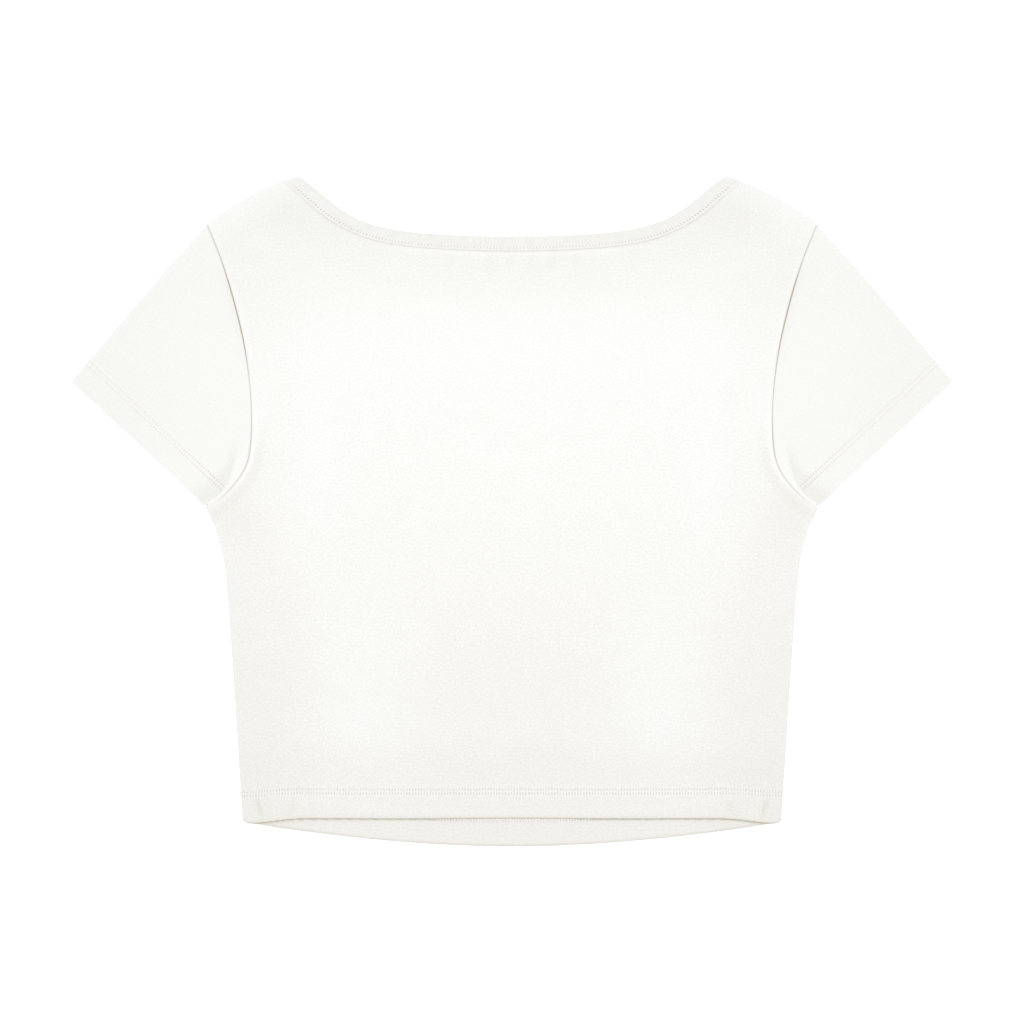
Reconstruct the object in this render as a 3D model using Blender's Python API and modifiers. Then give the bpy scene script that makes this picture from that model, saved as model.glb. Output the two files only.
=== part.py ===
"""Short-sleeved crop top in cotton jersey, lying flat with its back up.

Five cut pieces: back, front, two sleeves and the neck binding. The front lies on the surface
z = 0 with the back over it, the neck towards +Y and the hem towards -Y. The origin is under the
centre of the garment's outline. All plan tables are for the wearer's side at +X; the other side
is its mirror image.
"""
import bpy
import numpy as np

MM = 0.001

# Cloth, seams and folds
BODY_WALL = 1.1 * MM
HEM_WALL = 1.7 * MM
BINDING_WALL = 1.9 * MM
SEAM_GAP = 0.3 * MM
LAYER_GAP = 0.35 * MM
BODY_HEM_DEPTH = 18.5 * MM
SLEEVE_HEM_DEPTH = 16.0 * MM
HEM_EASE = 4.0 * MM
BODY_FOLD_RADIUS = 2.1 * MM
HEM_FOLD_RADIUS = 2.6 * MM
BINDING_FOLD_RADIUS = 2.4 * MM
FOLD_STRAIGHT = 0.45 * MM
FOLD_SETTLE = 24.0 * MM
SEAM_ALLOWANCE_LIFT = 0.4 * MM

# Neck: the hidden front neckline is a deeper scoop than the back one
BINDING_WIDTH = 9.4 * MM
BINDING_SPREAD = 0.8 * MM
SPREAD_PLACE = 118.0 * MM
SPREAD_REACH = 13.0 * MM
NECK_BRIDGE = 14.0 * MM
FRONT_ARMHOLE_SCOOP = 7.0 * MM

# Plan tables in millimetres, columns x and y
SIDE_SEAM = ((171.7, -196.3), (174.4, -155.7), (177.0, -115.4), (179.5, -79.6), (181.6, -51.2),
             (183.1, -37.2), (184.8, -26.0), (187.4, -16.0), (189.8, -8.8), (192.4, -3.0),
             (195.1, 2.3))
ARMHOLE = ((195.1, 2.3), (184.7, 9.7), (175.5, 19.6), (170.3, 28.0), (167.7, 36.5),
           (166.3, 51.0), (166.4, 68.1), (167.9, 86.6), (171.0, 107.0), (175.5, 126.8),
           (180.6, 145.3), (186.9, 164.4), (194.5, 183.2))
SHOULDER = ((194.5, 183.2), (187.6, 188.8), (179.9, 193.8), (172.3, 198.4), (164.6, 202.6),
            (156.9, 206.5), (146.7, 211.1))
NECK_TIP = ((146.7, 211.1), (142.0, 212.8), (137.8, 213.4), (134.0, 212.7))
BACK_NECK = ((134.0, 212.7), (126.3, 206.6), (117.4, 199.1), (107.2, 191.6), (98.3, 186.7),
             (89.3, 183.2), (77.8, 180.4), (62.5, 178.3), (44.7, 176.9), (23.6, 175.95),
             (0.0, 175.6))
FRONT_NECK = ((134.0, 212.7), (127.5, 204.5), (117.0, 190.0), (104.0, 174.0), (87.0, 158.5),
              (66.0, 146.5), (40.0, 138.2), (20.0, 135.7), (0.0, 135.0))
BACK_HEM = ((171.7, -196.3), (170.4, -197.7), (168.0, -198.5), (164.6, -198.7),
            (153.8, -197.7), (146.0, -196.8), (136.5, -196.0), (116.1, -195.8), (71.5, -195.7),
            (0.0, -195.4))
FRONT_HEM = ((171.7, -196.3), (170.1, -197.9), (167.4, -198.8), (163.6, -199.4),
             (146.7, -202.1), (121.2, -205.4), (95.7, -208.3), (70.2, -210.6), (44.7, -212.3),
             (19.1, -213.3), (0.0, -213.4))
SLEEVE_TOP = ((194.5, 183.2), (198.8, 178.5), (208.8, 167.1), (231.9, 140.5), (254.9, 113.7),
              (281.0, 83.0))
CUFF_LOWER_CORNER = (197.5, 5.4)

# Grid: steps along each edge
SIDE_ROWS = 14
ARMHOLE_STEPS = 13
SHOULDER_STEPS = 8
NECK_STEPS = 13
SLEEVE_ROWS = 10
ARM_START = 9.0 * MM
NECK_START = 9.0 * MM
FOLD_ANGLES = (0.0, 30.0, 60.0, 90.0)
BINDING_ACROSS = (0.0, 0.3, 0.7, 1.0)
CURVE_SAMPLES = 400

CLOTH_COLOUR = (0.90, 0.895, 0.87, 1.0)
CLOTH_ROUGHNESS = 0.9


# ---------------------------------------------------------------- plan curves

def smooth_curve(rows, samples=CURVE_SAMPLES):
    """Even samples of a centripetal Catmull-Rom curve through a table's points."""
    points = np.array(rows) * MM
    ends = 2.0 * points[[0, -1]] - points[[1, -2]]
    knots = np.vstack((ends[:1], points, ends[1:]))
    gaps = np.sqrt(np.linalg.norm(np.diff(knots, axis=0), axis=1))
    time = np.concatenate(([0.0], np.cumsum(gaps)))
    dense = []
    for i in range(1, len(knots) - 2):
        t = np.linspace(time[i], time[i + 1], 40, endpoint=False)[:, None]
        a1, a2, a3 = (between(knots[k], knots[k + 1], time[k], time[k + 1], t)
                      for k in (i - 1, i, i + 1))
        b1 = between(a1, a2, time[i - 1], time[i + 1], t)
        b2 = between(a2, a3, time[i], time[i + 2], t)
        dense.append(between(b1, b2, time[i], time[i + 1], t))
    dense.append(points[-1:])
    return at_fractions(np.vstack(dense), np.linspace(0.0, 1.0, samples))


def between(first, second, start, end, t):
    return first + (second - first) * ((t - start) / (end - start))


def lengths_along(curve):
    return np.concatenate(([0.0], np.cumsum(np.linalg.norm(np.diff(curve, axis=0), axis=1))))


def at_lengths(curve, lengths):
    """Points of a curve at the given lengths from its start."""
    travelled = lengths_along(curve)
    return np.column_stack([np.interp(lengths, travelled, curve[:, k]) for k in (0, 1)])


def at_fractions(curve, fractions):
    return at_lengths(curve, np.asarray(fractions) * lengths_along(curve)[-1])


def left_normals(curve):
    """Unit normals on the left of the direction of travel."""
    tangent = np.gradient(curve, axis=0)
    tangent /= np.linalg.norm(tangent, axis=1)[:, None]
    return np.column_stack((-tangent[:, 1], tangent[:, 0]))


def unit(vector):
    return np.asarray(vector) / np.linalg.norm(vector)


def ramp(value, start, end):
    """Smooth step from 0 at start to 1 at end."""
    t = np.clip((value - start) / (end - start), 0.0, 1.0)
    return t * t * (3.0 - 2.0 * t)


def nearest(points, curve):
    """Distance in plan from each point to the nearest sample of a curve."""
    return np.min(np.linalg.norm(points[:, None, :] - curve[None, :, :], axis=2), axis=1)


side_seam = smooth_curve(SIDE_SEAM)
armhole = smooth_curve(ARMHOLE)
shoulder = smooth_curve(SHOULDER)
neck_tip = smooth_curve(NECK_TIP, 60)
back_neck = smooth_curve(BACK_NECK)
front_neck = smooth_curve(FRONT_NECK)
back_hem = smooth_curve(BACK_HEM)
front_hem = smooth_curve(FRONT_HEM)
sleeve_top = smooth_curve(SLEEVE_TOP)
cuff_lower = np.array(CUFF_LOWER_CORNER) * MM
cuff_upper = sleeve_top[-1]
cuff_normal = left_normals(np.array((cuff_upper, cuff_lower)))[0]
fold_lines = np.vstack((side_seam, shoulder, neck_tip, sleeve_top))


def front_armhole_curve():
    """The front armhole is cut deeper than the back one, towards the centre."""
    scoop = FRONT_ARMHOLE_SCOOP * np.sin(np.pi * np.linspace(0.0, 1.0, len(armhole))) ** 1.5
    return armhole - np.column_stack((scoop, 0.0 * scoop))


def binding_seam(neck_edge):
    """Seam under the binding: the neck edge moved out by its width, up to the shoulder fold.

    The band is a little wider where the neck turns up towards the shoulder.
    """
    spread = BINDING_SPREAD * np.exp(-((neck_edge[:, :1] - SPREAD_PLACE) / SPREAD_REACH) ** 2)
    moved = neck_edge + (BINDING_WIDTH + spread) * left_normals(neck_edge)
    clear = lengths_along(neck_edge) > 1.3 * BINDING_WIDTH
    rows = np.vstack((neck_tip[:1], moved[clear][::24], moved[-1:]))
    rows[-1, 0] = 0.0
    return smooth_curve(rows / MM)


front_armhole = front_armhole_curve()
back_seam = binding_seam(back_neck)
front_seam = binding_seam(front_neck)


# ---------------------------------------------------------------- heights

def wall(edge_distance, hem_depth):
    """Cloth thickness: single cloth, or the doubled band along a hem."""
    band = 1.0 - ramp(edge_distance, hem_depth, hem_depth + HEM_EASE)
    return BODY_WALL + (HEM_WALL - BODY_WALL) * band


def above_hem(points, hem):
    """Height in plan of points above a body hem."""
    order = np.argsort(hem[:, 0])
    return points[:, 1] - np.interp(points[:, 0], hem[order, 0], hem[order, 1])


def inside_cuff(points):
    return -(points - cuff_lower) @ cuff_normal


def under_back(points):
    """Top of what the back lies on: front cloth, front binding, or bare floor in its scoop."""
    order = np.argsort(front_neck[:, 0])
    edge_y = np.interp(points[:, 0], front_neck[order, 0], front_neck[order, 1])
    reach = nearest(points, front_neck) * np.where(points[:, 1] < edge_y, 1.0, -1.0)
    front_cloth = wall(above_hem(points, front_hem), BODY_HEM_DEPTH)
    off_binding = ramp(reach, BINDING_WIDTH + NECK_BRIDGE, BINDING_WIDTH + 2.4 * NECK_BRIDGE)
    on_cloth = BINDING_WALL + (front_cloth - BINDING_WALL) * off_binding
    return on_cloth * ramp(reach, -2.3 * NECK_BRIDGE, -NECK_BRIDGE)


def lifted(points, height, fold_height):
    """Cloth height, rising to the full height of the fold near a folded edge."""
    radius = 0.5 * fold_height
    near = 1.0 - ramp(nearest(points, fold_lines), radius, radius + FOLD_SETTLE)
    return height + (fold_height - height) * near


def fold_radius(edge_distance, hem_depth):
    band = 1.0 - ramp(edge_distance, hem_depth, hem_depth + HEM_EASE)
    return BODY_FOLD_RADIUS + (HEM_FOLD_RADIUS - BODY_FOLD_RADIUS) * band


def back_height(points):
    """Outer face of the back panel."""
    own = wall(above_hem(points, back_hem), BODY_HEM_DEPTH)
    by_binding = 1.0 - ramp(nearest(points, back_seam), 2.0 * MM, 8.0 * MM)
    height = under_back(points) + LAYER_GAP + own + SEAM_ALLOWANCE_LIFT * by_binding
    radius = fold_radius(above_hem(points, back_hem), BODY_HEM_DEPTH)
    return lifted(points, height, 2.0 * radius)


def sleeve_height(points):
    """Outer face of a sleeve's upper layer."""
    cloth = wall(inside_cuff(points), SLEEVE_HEM_DEPTH)
    radius = fold_radius(inside_cuff(points), SLEEVE_HEM_DEPTH)
    return lifted(points, 2.0 * cloth + LAYER_GAP, 2.0 * radius)


def floor_height(points):
    return np.zeros(len(points))


# ---------------------------------------------------------------- cloth sheets

def edge_profile(radius, middle):
    """Insets and rises of a folded edge: a short upright, then a quarter round."""
    arc = radius - FOLD_STRAIGHT
    angles = np.radians(FOLD_ANGLES)
    inset = np.concatenate(([0.0], arc * (1.0 - np.cos(angles))))
    rise = np.concatenate(([middle], FOLD_STRAIGHT + arc * np.sin(angles)))
    return inset, rise


def crossing_slant(line, rail):
    """Sine of the angle at which a rail leaves a folded edge, or 1 where it runs on along it."""
    first, second = unit(line[1] - line[0]), unit(rail[4] - rail[0])
    sine = abs(first[0] * second[1] - first[1] * second[0])
    return sine if sine > 0.5 else 1.0


def fold_strip(line, radii, start_rail, end_rail, upper, middle):
    """Rings round a folded edge, outermost first; the cloth is on the left of the line.

    At each end the rings stop on the rail that crosses the fold, a hem or a sewn edge.
    """
    side = 1.0 if upper else -1.0
    normals = left_normals(line)
    rows = []
    for index, (point, normal, radius) in enumerate(zip(line, normals, radii)):
        inset, rise = edge_profile(radius, middle)
        if index == 0:
            places = at_lengths(start_rail, inset / crossing_slant(line, start_rail))
        elif index == len(line) - 1:
            places = at_lengths(end_rail, inset / crossing_slant(line[::-1], end_rail))
        else:
            places = point + inset[:, None] * normal
        rows.append(np.column_stack((places, radius + side * rise)))
    return np.array(rows).transpose(1, 0, 2)


def coons(bottom, left, top, right):
    """Patch of plan points between four edges; rows run from bottom to top."""
    across = 0.5 * (part_way(bottom) + part_way(top))[None, :, None]
    up = 0.5 * (part_way(left) + part_way(right))[:, None, None]
    ruled = (1.0 - up) * bottom + up * top
    ruled = ruled + (1.0 - across) * left[:, None] + across * right[:, None]
    corners = ((1.0 - across) * (1.0 - up) * bottom[0] + across * (1.0 - up) * bottom[-1]
               + (1.0 - across) * up * top[0] + across * up * top[-1])
    return ruled - corners


def part_way(curve):
    lengths = lengths_along(curve)
    return lengths / lengths[-1]


class Sheet:
    """Points, faces and thickness weights of one open cloth surface."""

    def __init__(self):
        self.points = []
        self.faces = []
        self.weights = []

    def add(self, places, weights):
        start = len(self.points)
        self.points.extend(tuple(place) for place in places)
        self.weights.extend(weights)
        return list(range(start, start + len(places)))

    def strip(self, first, second, upper):
        for a, b, c, d in zip(first, first[1:], second[1:], second):
            self.faces.append((a, b, c, d) if upper else (d, c, b, a))


def band_weight(edge_distance, hem_depth):
    return np.where(edge_distance < hem_depth + 0.5 * MM, 1.0, 0.0)


def add_layer(sheet, strips, patch, height, edge_distance, hem_depth, upper):
    """Add fold strips and the patch between them; patch edges take the strips' exact points."""
    places = np.dstack((patch, height(patch.reshape(-1, 2)).reshape(patch.shape[:2])))
    for strip in strips:
        for point in strip[-1]:
            gap = np.linalg.norm(places[:, :, :2] - point[:2], axis=2)
            row, column = np.unravel_index(np.argmin(gap), gap.shape)
            if gap[row, column] < 0.001 * MM:
                places[row, column] = point
    for grid, faces_up in [(strip, upper) for strip in strips] + [(places, not upper)]:
        ids = [sheet.add(line, band_weight(edge_distance(line[:, :2]), hem_depth))
               for line in grid]
        for first, second in zip(ids, ids[1:]):
            sheet.strip(first, second, faces_up)


def cloth_object(name, sheet, thick, thin, mirrored):
    """Make the sheet a solid: mirrored where it is half a piece, then thickened inwards."""
    mesh = bpy.data.meshes.new(name)
    mesh.from_pydata(sheet.points, [], sheet.faces)
    mesh.validate()
    piece = bpy.data.objects.new(name, mesh)
    collection.objects.link(piece)
    group = piece.vertex_groups.new(name="doubled cloth")
    for index, weight in enumerate(sheet.weights):
        group.add([index], float(weight), "REPLACE")
    if mirrored:
        mirror = piece.modifiers.new("other side", "MIRROR")
        mirror.use_clip = True
        mirror.merge_threshold = 0.00005
    weld = piece.modifiers.new("joined edges", "WELD")
    weld.merge_threshold = 0.00002
    solid = piece.modifiers.new("cloth thickness", "SOLIDIFY")
    solid.thickness = thick
    solid.offset = -1.0
    solid.vertex_group = group.name
    solid.thickness_vertex_group = thin / thick
    mesh.shade_smooth()
    mesh.set_sharp_from_angle(angle=np.radians(50.0))
    mesh.materials.append(cloth_material(name + "_cloth"))
    return piece


def cloth_material(name):
    material = bpy.data.materials.new(name)
    material.use_nodes = True
    shader = material.node_tree.nodes["Principled BSDF"]
    shader.inputs["Base Color"].default_value = CLOTH_COLOUR
    shader.inputs["Roughness"].default_value = CLOTH_ROUGHNESS
    shader.inputs["Metallic"].default_value = 0.0
    return material


# ---------------------------------------------------------------- body panels

def hem_rows(total, hem_depth, rows, end_gap):
    """Lengths up from a hem: through its doubled band, then closer towards the end."""
    low = [0.0, 0.5 * hem_depth, hem_depth, hem_depth + 2.0 * MM]
    eased = 1.0 - (1.0 - np.linspace(0.0, 1.0, rows - 3)[1:]) ** 1.5
    free = low[-1] + (total - end_gap - low[-1]) * eased
    return np.concatenate((low, free, [total]))


def seam_lengths(curve, steps, start_gap, end_gap):
    """Lengths along a sewn edge between the folds that end it, alike for both its pieces."""
    return np.linspace(start_gap, lengths_along(curve)[-1] - end_gap, steps)


def panel(name, hem, arm, seam, height, upper):
    """Half of a body panel: folded side and shoulder, sewn armhole and neck, open hem."""
    side = at_lengths(side_seam, hem_rows(lengths_along(side_seam)[-1], BODY_HEM_DEPTH,
                                          SIDE_ROWS, 7.0 * MM))
    arm_points = at_lengths(arm, seam_lengths(arm, ARMHOLE_STEPS, ARM_START, ARM_START))
    sewn = seam + SEAM_GAP * left_normals(seam)
    sewn[-1, 0] = 0.0
    neck_points = at_lengths(sewn, seam_lengths(sewn, NECK_STEPS, NECK_START, 0.0))
    shoulder_length = lengths_along(shoulder)[-1] - 2.0 * SEAM_GAP
    top = at_lengths(shoulder, np.linspace(0.0, shoulder_length, SHOULDER_STEPS))
    middle = 0.5 * SEAM_GAP
    side_strip = fold_strip(side, fold_radius(above_hem(side, hem), BODY_HEM_DEPTH), hem, arm,
                            upper, middle)
    shoulder_strip = fold_strip(top, np.full(len(top), BODY_FOLD_RADIUS), arm[::-1],
                                np.vstack((top[-1:], sewn[12:])), upper, middle)
    left = np.vstack((side_strip[-1][:, :2], arm_points, shoulder_strip[-1][:1, :2]))
    above = np.vstack((shoulder_strip[-1][:, :2], neck_points))
    hem_inside = hem[lengths_along(hem) > 1.5 * HEM_FOLD_RADIUS]
    bottom = at_fractions(np.vstack((left[:1], hem_inside)), part_way(above))
    rise = above[-1, 1] - bottom[-1, 1]
    up_left = lengths_along(left)
    low = hem_rows(rise, BODY_HEM_DEPTH, SIDE_ROWS, 0.0)[3]
    eased = low + (rise - low) * (up_left[4:] - up_left[3]) / (up_left[-1] - up_left[3])
    up_centre = np.concatenate((up_left[:4] * low / up_left[3], eased))
    right = at_lengths(np.array((bottom[-1], above[-1])), up_centre)
    patch = coons(bottom, left, above, right)
    patch[:, -1, 0] = 0.0
    sheet = Sheet()
    add_layer(sheet, (side_strip, shoulder_strip), patch, height,
              lambda points: above_hem(points, hem), BODY_HEM_DEPTH, upper)
    return cloth_object(name, sheet, HEM_WALL, BODY_WALL, mirrored=True)


# ---------------------------------------------------------------- sleeves

def sleeve_layer(sheet, arm, height, upper, faces_out):
    """One layer of a sleeve between its top fold, armhole, short underarm seam and cuff."""
    sewn = arm - SEAM_GAP * left_normals(arm)
    top_line = np.vstack((sleeve_top[lengths_along(sleeve_top) > 3.0 * MM][::-1], sewn[-1:]))
    top_total = lengths_along(top_line)[-1]
    top = at_lengths(top_line, hem_rows(top_total, SLEEVE_HEM_DEPTH, SLEEVE_ROWS, 7.0 * MM))
    arm_points = at_lengths(sewn, seam_lengths(sewn, ARMHOLE_STEPS, ARM_START, ARM_START))
    under = at_fractions(np.array((sewn[0], cuff_lower)), np.linspace(0.0, 1.0, len(top)))
    cuff = at_fractions(np.array((cuff_upper, cuff_lower)), np.linspace(0.0, 1.0, 50))
    top_strip = fold_strip(top, fold_radius(inside_cuff(top), SLEEVE_HEM_DEPTH), cuff,
                           sewn[::-1], upper, 0.0)
    under_strip = fold_strip(under, fold_radius(inside_cuff(under), SLEEVE_HEM_DEPTH), sewn,
                             cuff[::-1], upper, 0.0)
    left, right = top_strip[-1][:, :2], under_strip[-1][::-1, :2]
    above = np.vstack((left[-1:], arm_points[::-1], right[-1:]))
    bottom = at_fractions(np.array((left[0], right[0])), part_way(above))
    patch = coons(bottom, left, above, right)
    add_layer(sheet, (top_strip, under_strip), patch, height, inside_cuff, SLEEVE_HEM_DEPTH,
              faces_out)


def sleeve(name, side):
    """A flattened tube, open at the cuff and the armhole; side is 1 at +X and -1 at -X."""
    sheet = Sheet()
    sleeve_layer(sheet, armhole, sleeve_height, True, side > 0)
    sleeve_layer(sheet, front_armhole, floor_height, False, side < 0)
    sheet.points = [(side * x, y, z) for x, y, z in sheet.points]
    return cloth_object(name, sheet, HEM_WALL, BODY_WALL, mirrored=False)


# ---------------------------------------------------------------- neck binding

def binding_height(points):
    """Outer face of the binding where it runs along the back."""
    height = under_back(points) + LAYER_GAP + BINDING_WALL
    return lifted(points, height, 2.0 * BINDING_FOLD_RADIUS)


def binding_rows(neck_edge, seam, height, upper):
    """Rows across the binding from the middle of the shoulder fold to the centre line."""
    angles = np.radians(FOLD_ANGLES)
    insets = BINDING_FOLD_RADIUS * (1.0 - np.cos(angles))
    along_seam = np.concatenate((insets, seam_lengths(seam, NECK_STEPS, NECK_START, 0.0)))
    scale = lengths_along(neck_edge)[-1] / lengths_along(seam)[-1]
    sewn_edge = at_lengths(seam, along_seam)
    open_edge = at_lengths(neck_edge, along_seam * scale)
    across = np.array(BINDING_ACROSS)[:, None]
    fold = at_fractions(neck_tip[::-1], BINDING_ACROSS)
    bulge = fold - (1.0 - across) * open_edge[0] - across * sewn_edge[0]
    rows = []
    for index, (opening, sewn) in enumerate(zip(open_edge, sewn_edge)):
        fading = np.exp(-np.linalg.norm(opening - open_edge[0]) / (8.0 * MM))
        places = (1.0 - across) * opening + across * sewn + fading * bulge
        if index < len(angles):
            turn = np.sin(angles[index]) if upper else -np.sin(angles[index])
            levels = np.full(len(places), BINDING_FOLD_RADIUS * (1.0 + turn))
        else:
            levels = height(places)
        rows.append(np.column_stack((places, levels)))
    rows[-1][:, 0] = 0.0
    return rows


def binding(name):
    """The band round the whole neck edge: along the back, over each shoulder, along the front."""
    back_rows = binding_rows(back_neck, back_seam, binding_height, True)
    front_rows = binding_rows(front_neck, front_seam, floor_height, False)
    turning = len(FOLD_ANGLES)
    back_weights = [0.0] * turning + [1.0] * (len(back_rows) - turning)
    weights = back_weights[::-1] + back_weights[1:]
    sheet = Sheet()
    ids = [sheet.add(row, [weight] * len(row))
           for row, weight in zip(back_rows[::-1] + front_rows[1:], weights)]
    for first, second in zip(ids, ids[1:]):
        sheet.strip(first, second, True)
    return cloth_object(name, sheet, BINDING_WALL, BODY_WALL, mirrored=True)


# ---------------------------------------------------------------- scene

def clear_scene():
    for item in list(bpy.data.objects):
        bpy.data.objects.remove(item, do_unlink=True)


clear_scene()
collection = bpy.data.collections.new("crop_top")
bpy.context.scene.collection.children.link(collection)

panel("back_panel", back_hem, armhole, back_seam, back_height, upper=True)
panel("front_panel", front_hem, front_armhole, front_seam, floor_height, upper=False)
for side, name in ((1, "sleeve_right"), (-1, "sleeve_left")):
    sleeve(name, side)
binding("neck_binding")
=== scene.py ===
import math

import bpy
import numpy as np
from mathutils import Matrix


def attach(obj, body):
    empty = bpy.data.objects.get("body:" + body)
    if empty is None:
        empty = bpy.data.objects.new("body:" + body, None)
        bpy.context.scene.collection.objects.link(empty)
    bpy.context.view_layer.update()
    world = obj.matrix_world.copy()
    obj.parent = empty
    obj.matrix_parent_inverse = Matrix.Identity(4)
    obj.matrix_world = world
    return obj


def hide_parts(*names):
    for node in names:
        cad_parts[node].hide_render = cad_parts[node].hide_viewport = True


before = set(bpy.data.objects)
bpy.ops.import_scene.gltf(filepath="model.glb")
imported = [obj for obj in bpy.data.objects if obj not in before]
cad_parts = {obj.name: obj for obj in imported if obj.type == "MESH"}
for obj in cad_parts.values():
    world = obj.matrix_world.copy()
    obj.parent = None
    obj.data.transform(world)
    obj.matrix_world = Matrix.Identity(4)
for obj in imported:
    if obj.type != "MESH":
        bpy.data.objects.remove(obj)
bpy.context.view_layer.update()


# ---------------------------------------------------------------- back panel
# The back of the top, one piece of cream cotton jersey cut on the fold. Its sides and shoulders
# turn over into the front, its armhole and neck edges roll into their seams, and its hem is turned
# up once and held by two rows of coverstitch.

# Lengths are in millimetres, and MM turns them into metres where a mesh or a material is made
MM = 0.001
BODY_WALL = 1.1
HEM_WALL = 1.7
BINDING_WALL = 1.9
SEW_GAP = 0.04
LAYER_GAP = 0.35
BODY_HEM_DEPTH = 18.5
SLEEVE_HEM_DEPTH = 16.0
HEM_EASE = 4.0
BODY_FOLD_RADIUS = 2.1
HEM_FOLD_RADIUS = 2.6
BINDING_FOLD_RADIUS = 2.4
FOLD_STRAIGHT = 0.45
FOLD_SETTLE = 24.0
SEAM_ALLOWANCE_LIFT = 0.4
BINDING_WIDTH = 9.4
BINDING_SPREAD = 0.8
SPREAD_PLACE = 118.0
SPREAD_REACH = 13.0
NECK_BRIDGE = 14.0
FRONT_ARMHOLE_SCOOP = 7.0
CORNER_REACH = 16.0

# Plan tables, columns x and y, for the wearer's right side at +X
SIDE_SEAM = ((171.7, -196.3), (174.4, -155.7), (177.0, -115.4), (179.5, -79.6), (181.6, -51.2),
             (183.1, -37.2), (184.8, -26.0), (187.4, -16.0), (189.8, -8.8), (192.4, -3.0),
             (195.1, 2.3))
ARMHOLE = ((195.1, 2.3), (184.7, 9.7), (175.5, 19.6), (170.3, 28.0), (167.7, 36.5),
           (166.3, 51.0), (166.4, 68.1), (167.9, 86.6), (171.0, 107.0), (175.5, 126.8),
           (180.6, 145.3), (186.9, 164.4), (194.5, 183.2))
SHOULDER = ((194.5, 183.2), (187.6, 188.8), (179.9, 193.8), (172.3, 198.4), (164.6, 202.6),
            (156.9, 206.4), (146.7, 210.7))
NECK_TIP = ((146.7, 210.7), (142.0, 212.3), (137.8, 213.3), (134.0, 212.7))
BACK_NECK = ((134.0, 212.7), (126.3, 206.6), (117.4, 199.1), (107.2, 191.6), (98.3, 186.7),
             (89.3, 183.2), (77.8, 180.4), (62.5, 178.3), (44.7, 176.9), (23.6, 175.95),
             (0.0, 175.6))
FRONT_NECK = ((134.0, 212.7), (127.5, 204.5), (117.0, 190.0), (104.0, 174.0), (87.0, 158.5),
              (66.0, 146.5), (40.0, 138.2), (20.0, 135.7), (0.0, 135.0))
BACK_HEM = ((171.7, -196.3), (170.4, -197.7), (168.0, -198.5), (164.6, -198.7),
            (153.8, -197.7), (146.0, -196.8), (136.5, -196.0), (116.1, -195.9), (71.5, -195.95),
            (0.0, -195.6))
FRONT_HEM = ((171.7, -196.3), (170.1, -197.9), (167.4, -198.8), (163.6, -199.4),
             (146.7, -202.2), (121.2, -205.6), (95.7, -208.5), (70.2, -210.8), (44.7, -212.5),
             (19.1, -213.5), (0.0, -213.6))
SLEEVE_TOP = ((194.5, 183.2), (198.8, 178.5), (209.0, 167.3), (232.1, 140.7), (255.1, 113.9),
              (281.0, 83.0))

FOLD_ANGLES = np.radians((0.0, 18.0, 36.0, 54.0, 72.0, 90.0))
FOLD_BULGE = 0.6
CORNER_EASE = 14.0
EDGE_STEP = 0.28
BAND_STEP = 0.9
OPEN_STEP = 3.0
SEAM_STEP = 2.4
CREASED_WIDTH = 21.0
CREASE_STEP = 0.6
UNDERARM_STEP = 1.2
SHOULDER_STEP = 0.4
CORNER_STEP = 0.8
SAME_POINT = 0.001
# Distances in from a fold over which cloth comes free of it, for its waves and its rolled edges
BODY_FREE = (2.6, 12.0)
SLEEVE_FREE = (2.4, 10.0)
ROLL_FREE = (1.6, 6.0)
BINDING_FREE = (6.0, 22.0)
HEM_END = (166.0, 171.0)


def blend(first, second, share):
    return first + (second - first) * share


def ramp(value, start, end):
    """Smooth step from 0 at start to 1 at end."""
    t = np.clip((value - start) / (end - start), 0.0, 1.0)
    return t * t * (3.0 - 2.0 * t)


def fade(value, start, end):
    """Smooth step from 1 at start to 0 at end."""
    return 1.0 - ramp(value, start, end)


def swell(value, centre, width):
    """Bell curve: 1 at its centre, 0.37 a width away from it."""
    return np.exp(-((value - centre) / width) ** 2)


def spot(points, centre, widths):
    """Soft oval mark in plan: 1 at its centre."""
    return swell(points, centre, widths).prod(axis=1)


def lengths_along(curve):
    return np.concatenate(([0.0], np.cumsum(np.linalg.norm(np.diff(curve, axis=0), axis=1))))


def at_lengths(curve, lengths):
    travelled = lengths_along(curve)
    return np.column_stack([np.interp(lengths, travelled, column) for column in curve.T])


def at_fractions(curve, fractions):
    return at_lengths(curve, np.asarray(fractions) * lengths_along(curve)[-1])


def part_way(curve):
    lengths = lengths_along(curve)
    return lengths / lengths[-1]


def smooth_curve(rows, samples=600):
    """Even samples of a centripetal Catmull-Rom curve through a table's points."""
    points = np.array(rows)
    ends = 2.0 * points[[0, -1]] - points[[1, -2]]
    knots = np.vstack((ends[:1], points, ends[1:]))
    gaps = np.sqrt(np.linalg.norm(np.diff(knots, axis=0), axis=1))
    time = np.concatenate(([0.0], np.cumsum(gaps)))
    dense = []
    for i in range(1, len(knots) - 2):
        t = np.linspace(time[i], time[i + 1], 60, endpoint=False)[:, None]
        near = {k: (t - time[k]) / (time[k + 1] - time[k]) for k in (i - 1, i, i + 1)}
        a1, a2, a3 = (blend(knots[k], knots[k + 1], share) for k, share in near.items())
        b1 = blend(a1, a2, (t - time[i - 1]) / (time[i + 1] - time[i - 1]))
        b2 = blend(a2, a3, (t - time[i]) / (time[i + 2] - time[i]))
        dense.append(blend(b1, b2, near[i]))
    dense.append(points[-1:])
    return at_fractions(np.vstack(dense), np.linspace(0.0, 1.0, samples))


def unit(vectors):
    return vectors / np.linalg.norm(vectors, axis=1)[:, None]


def left_normals(curve):
    """Unit normals on the left of the direction of travel."""
    tangent = unit(np.gradient(curve, axis=0))
    return np.column_stack((-tangent[:, 1], tangent[:, 0]))


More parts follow.
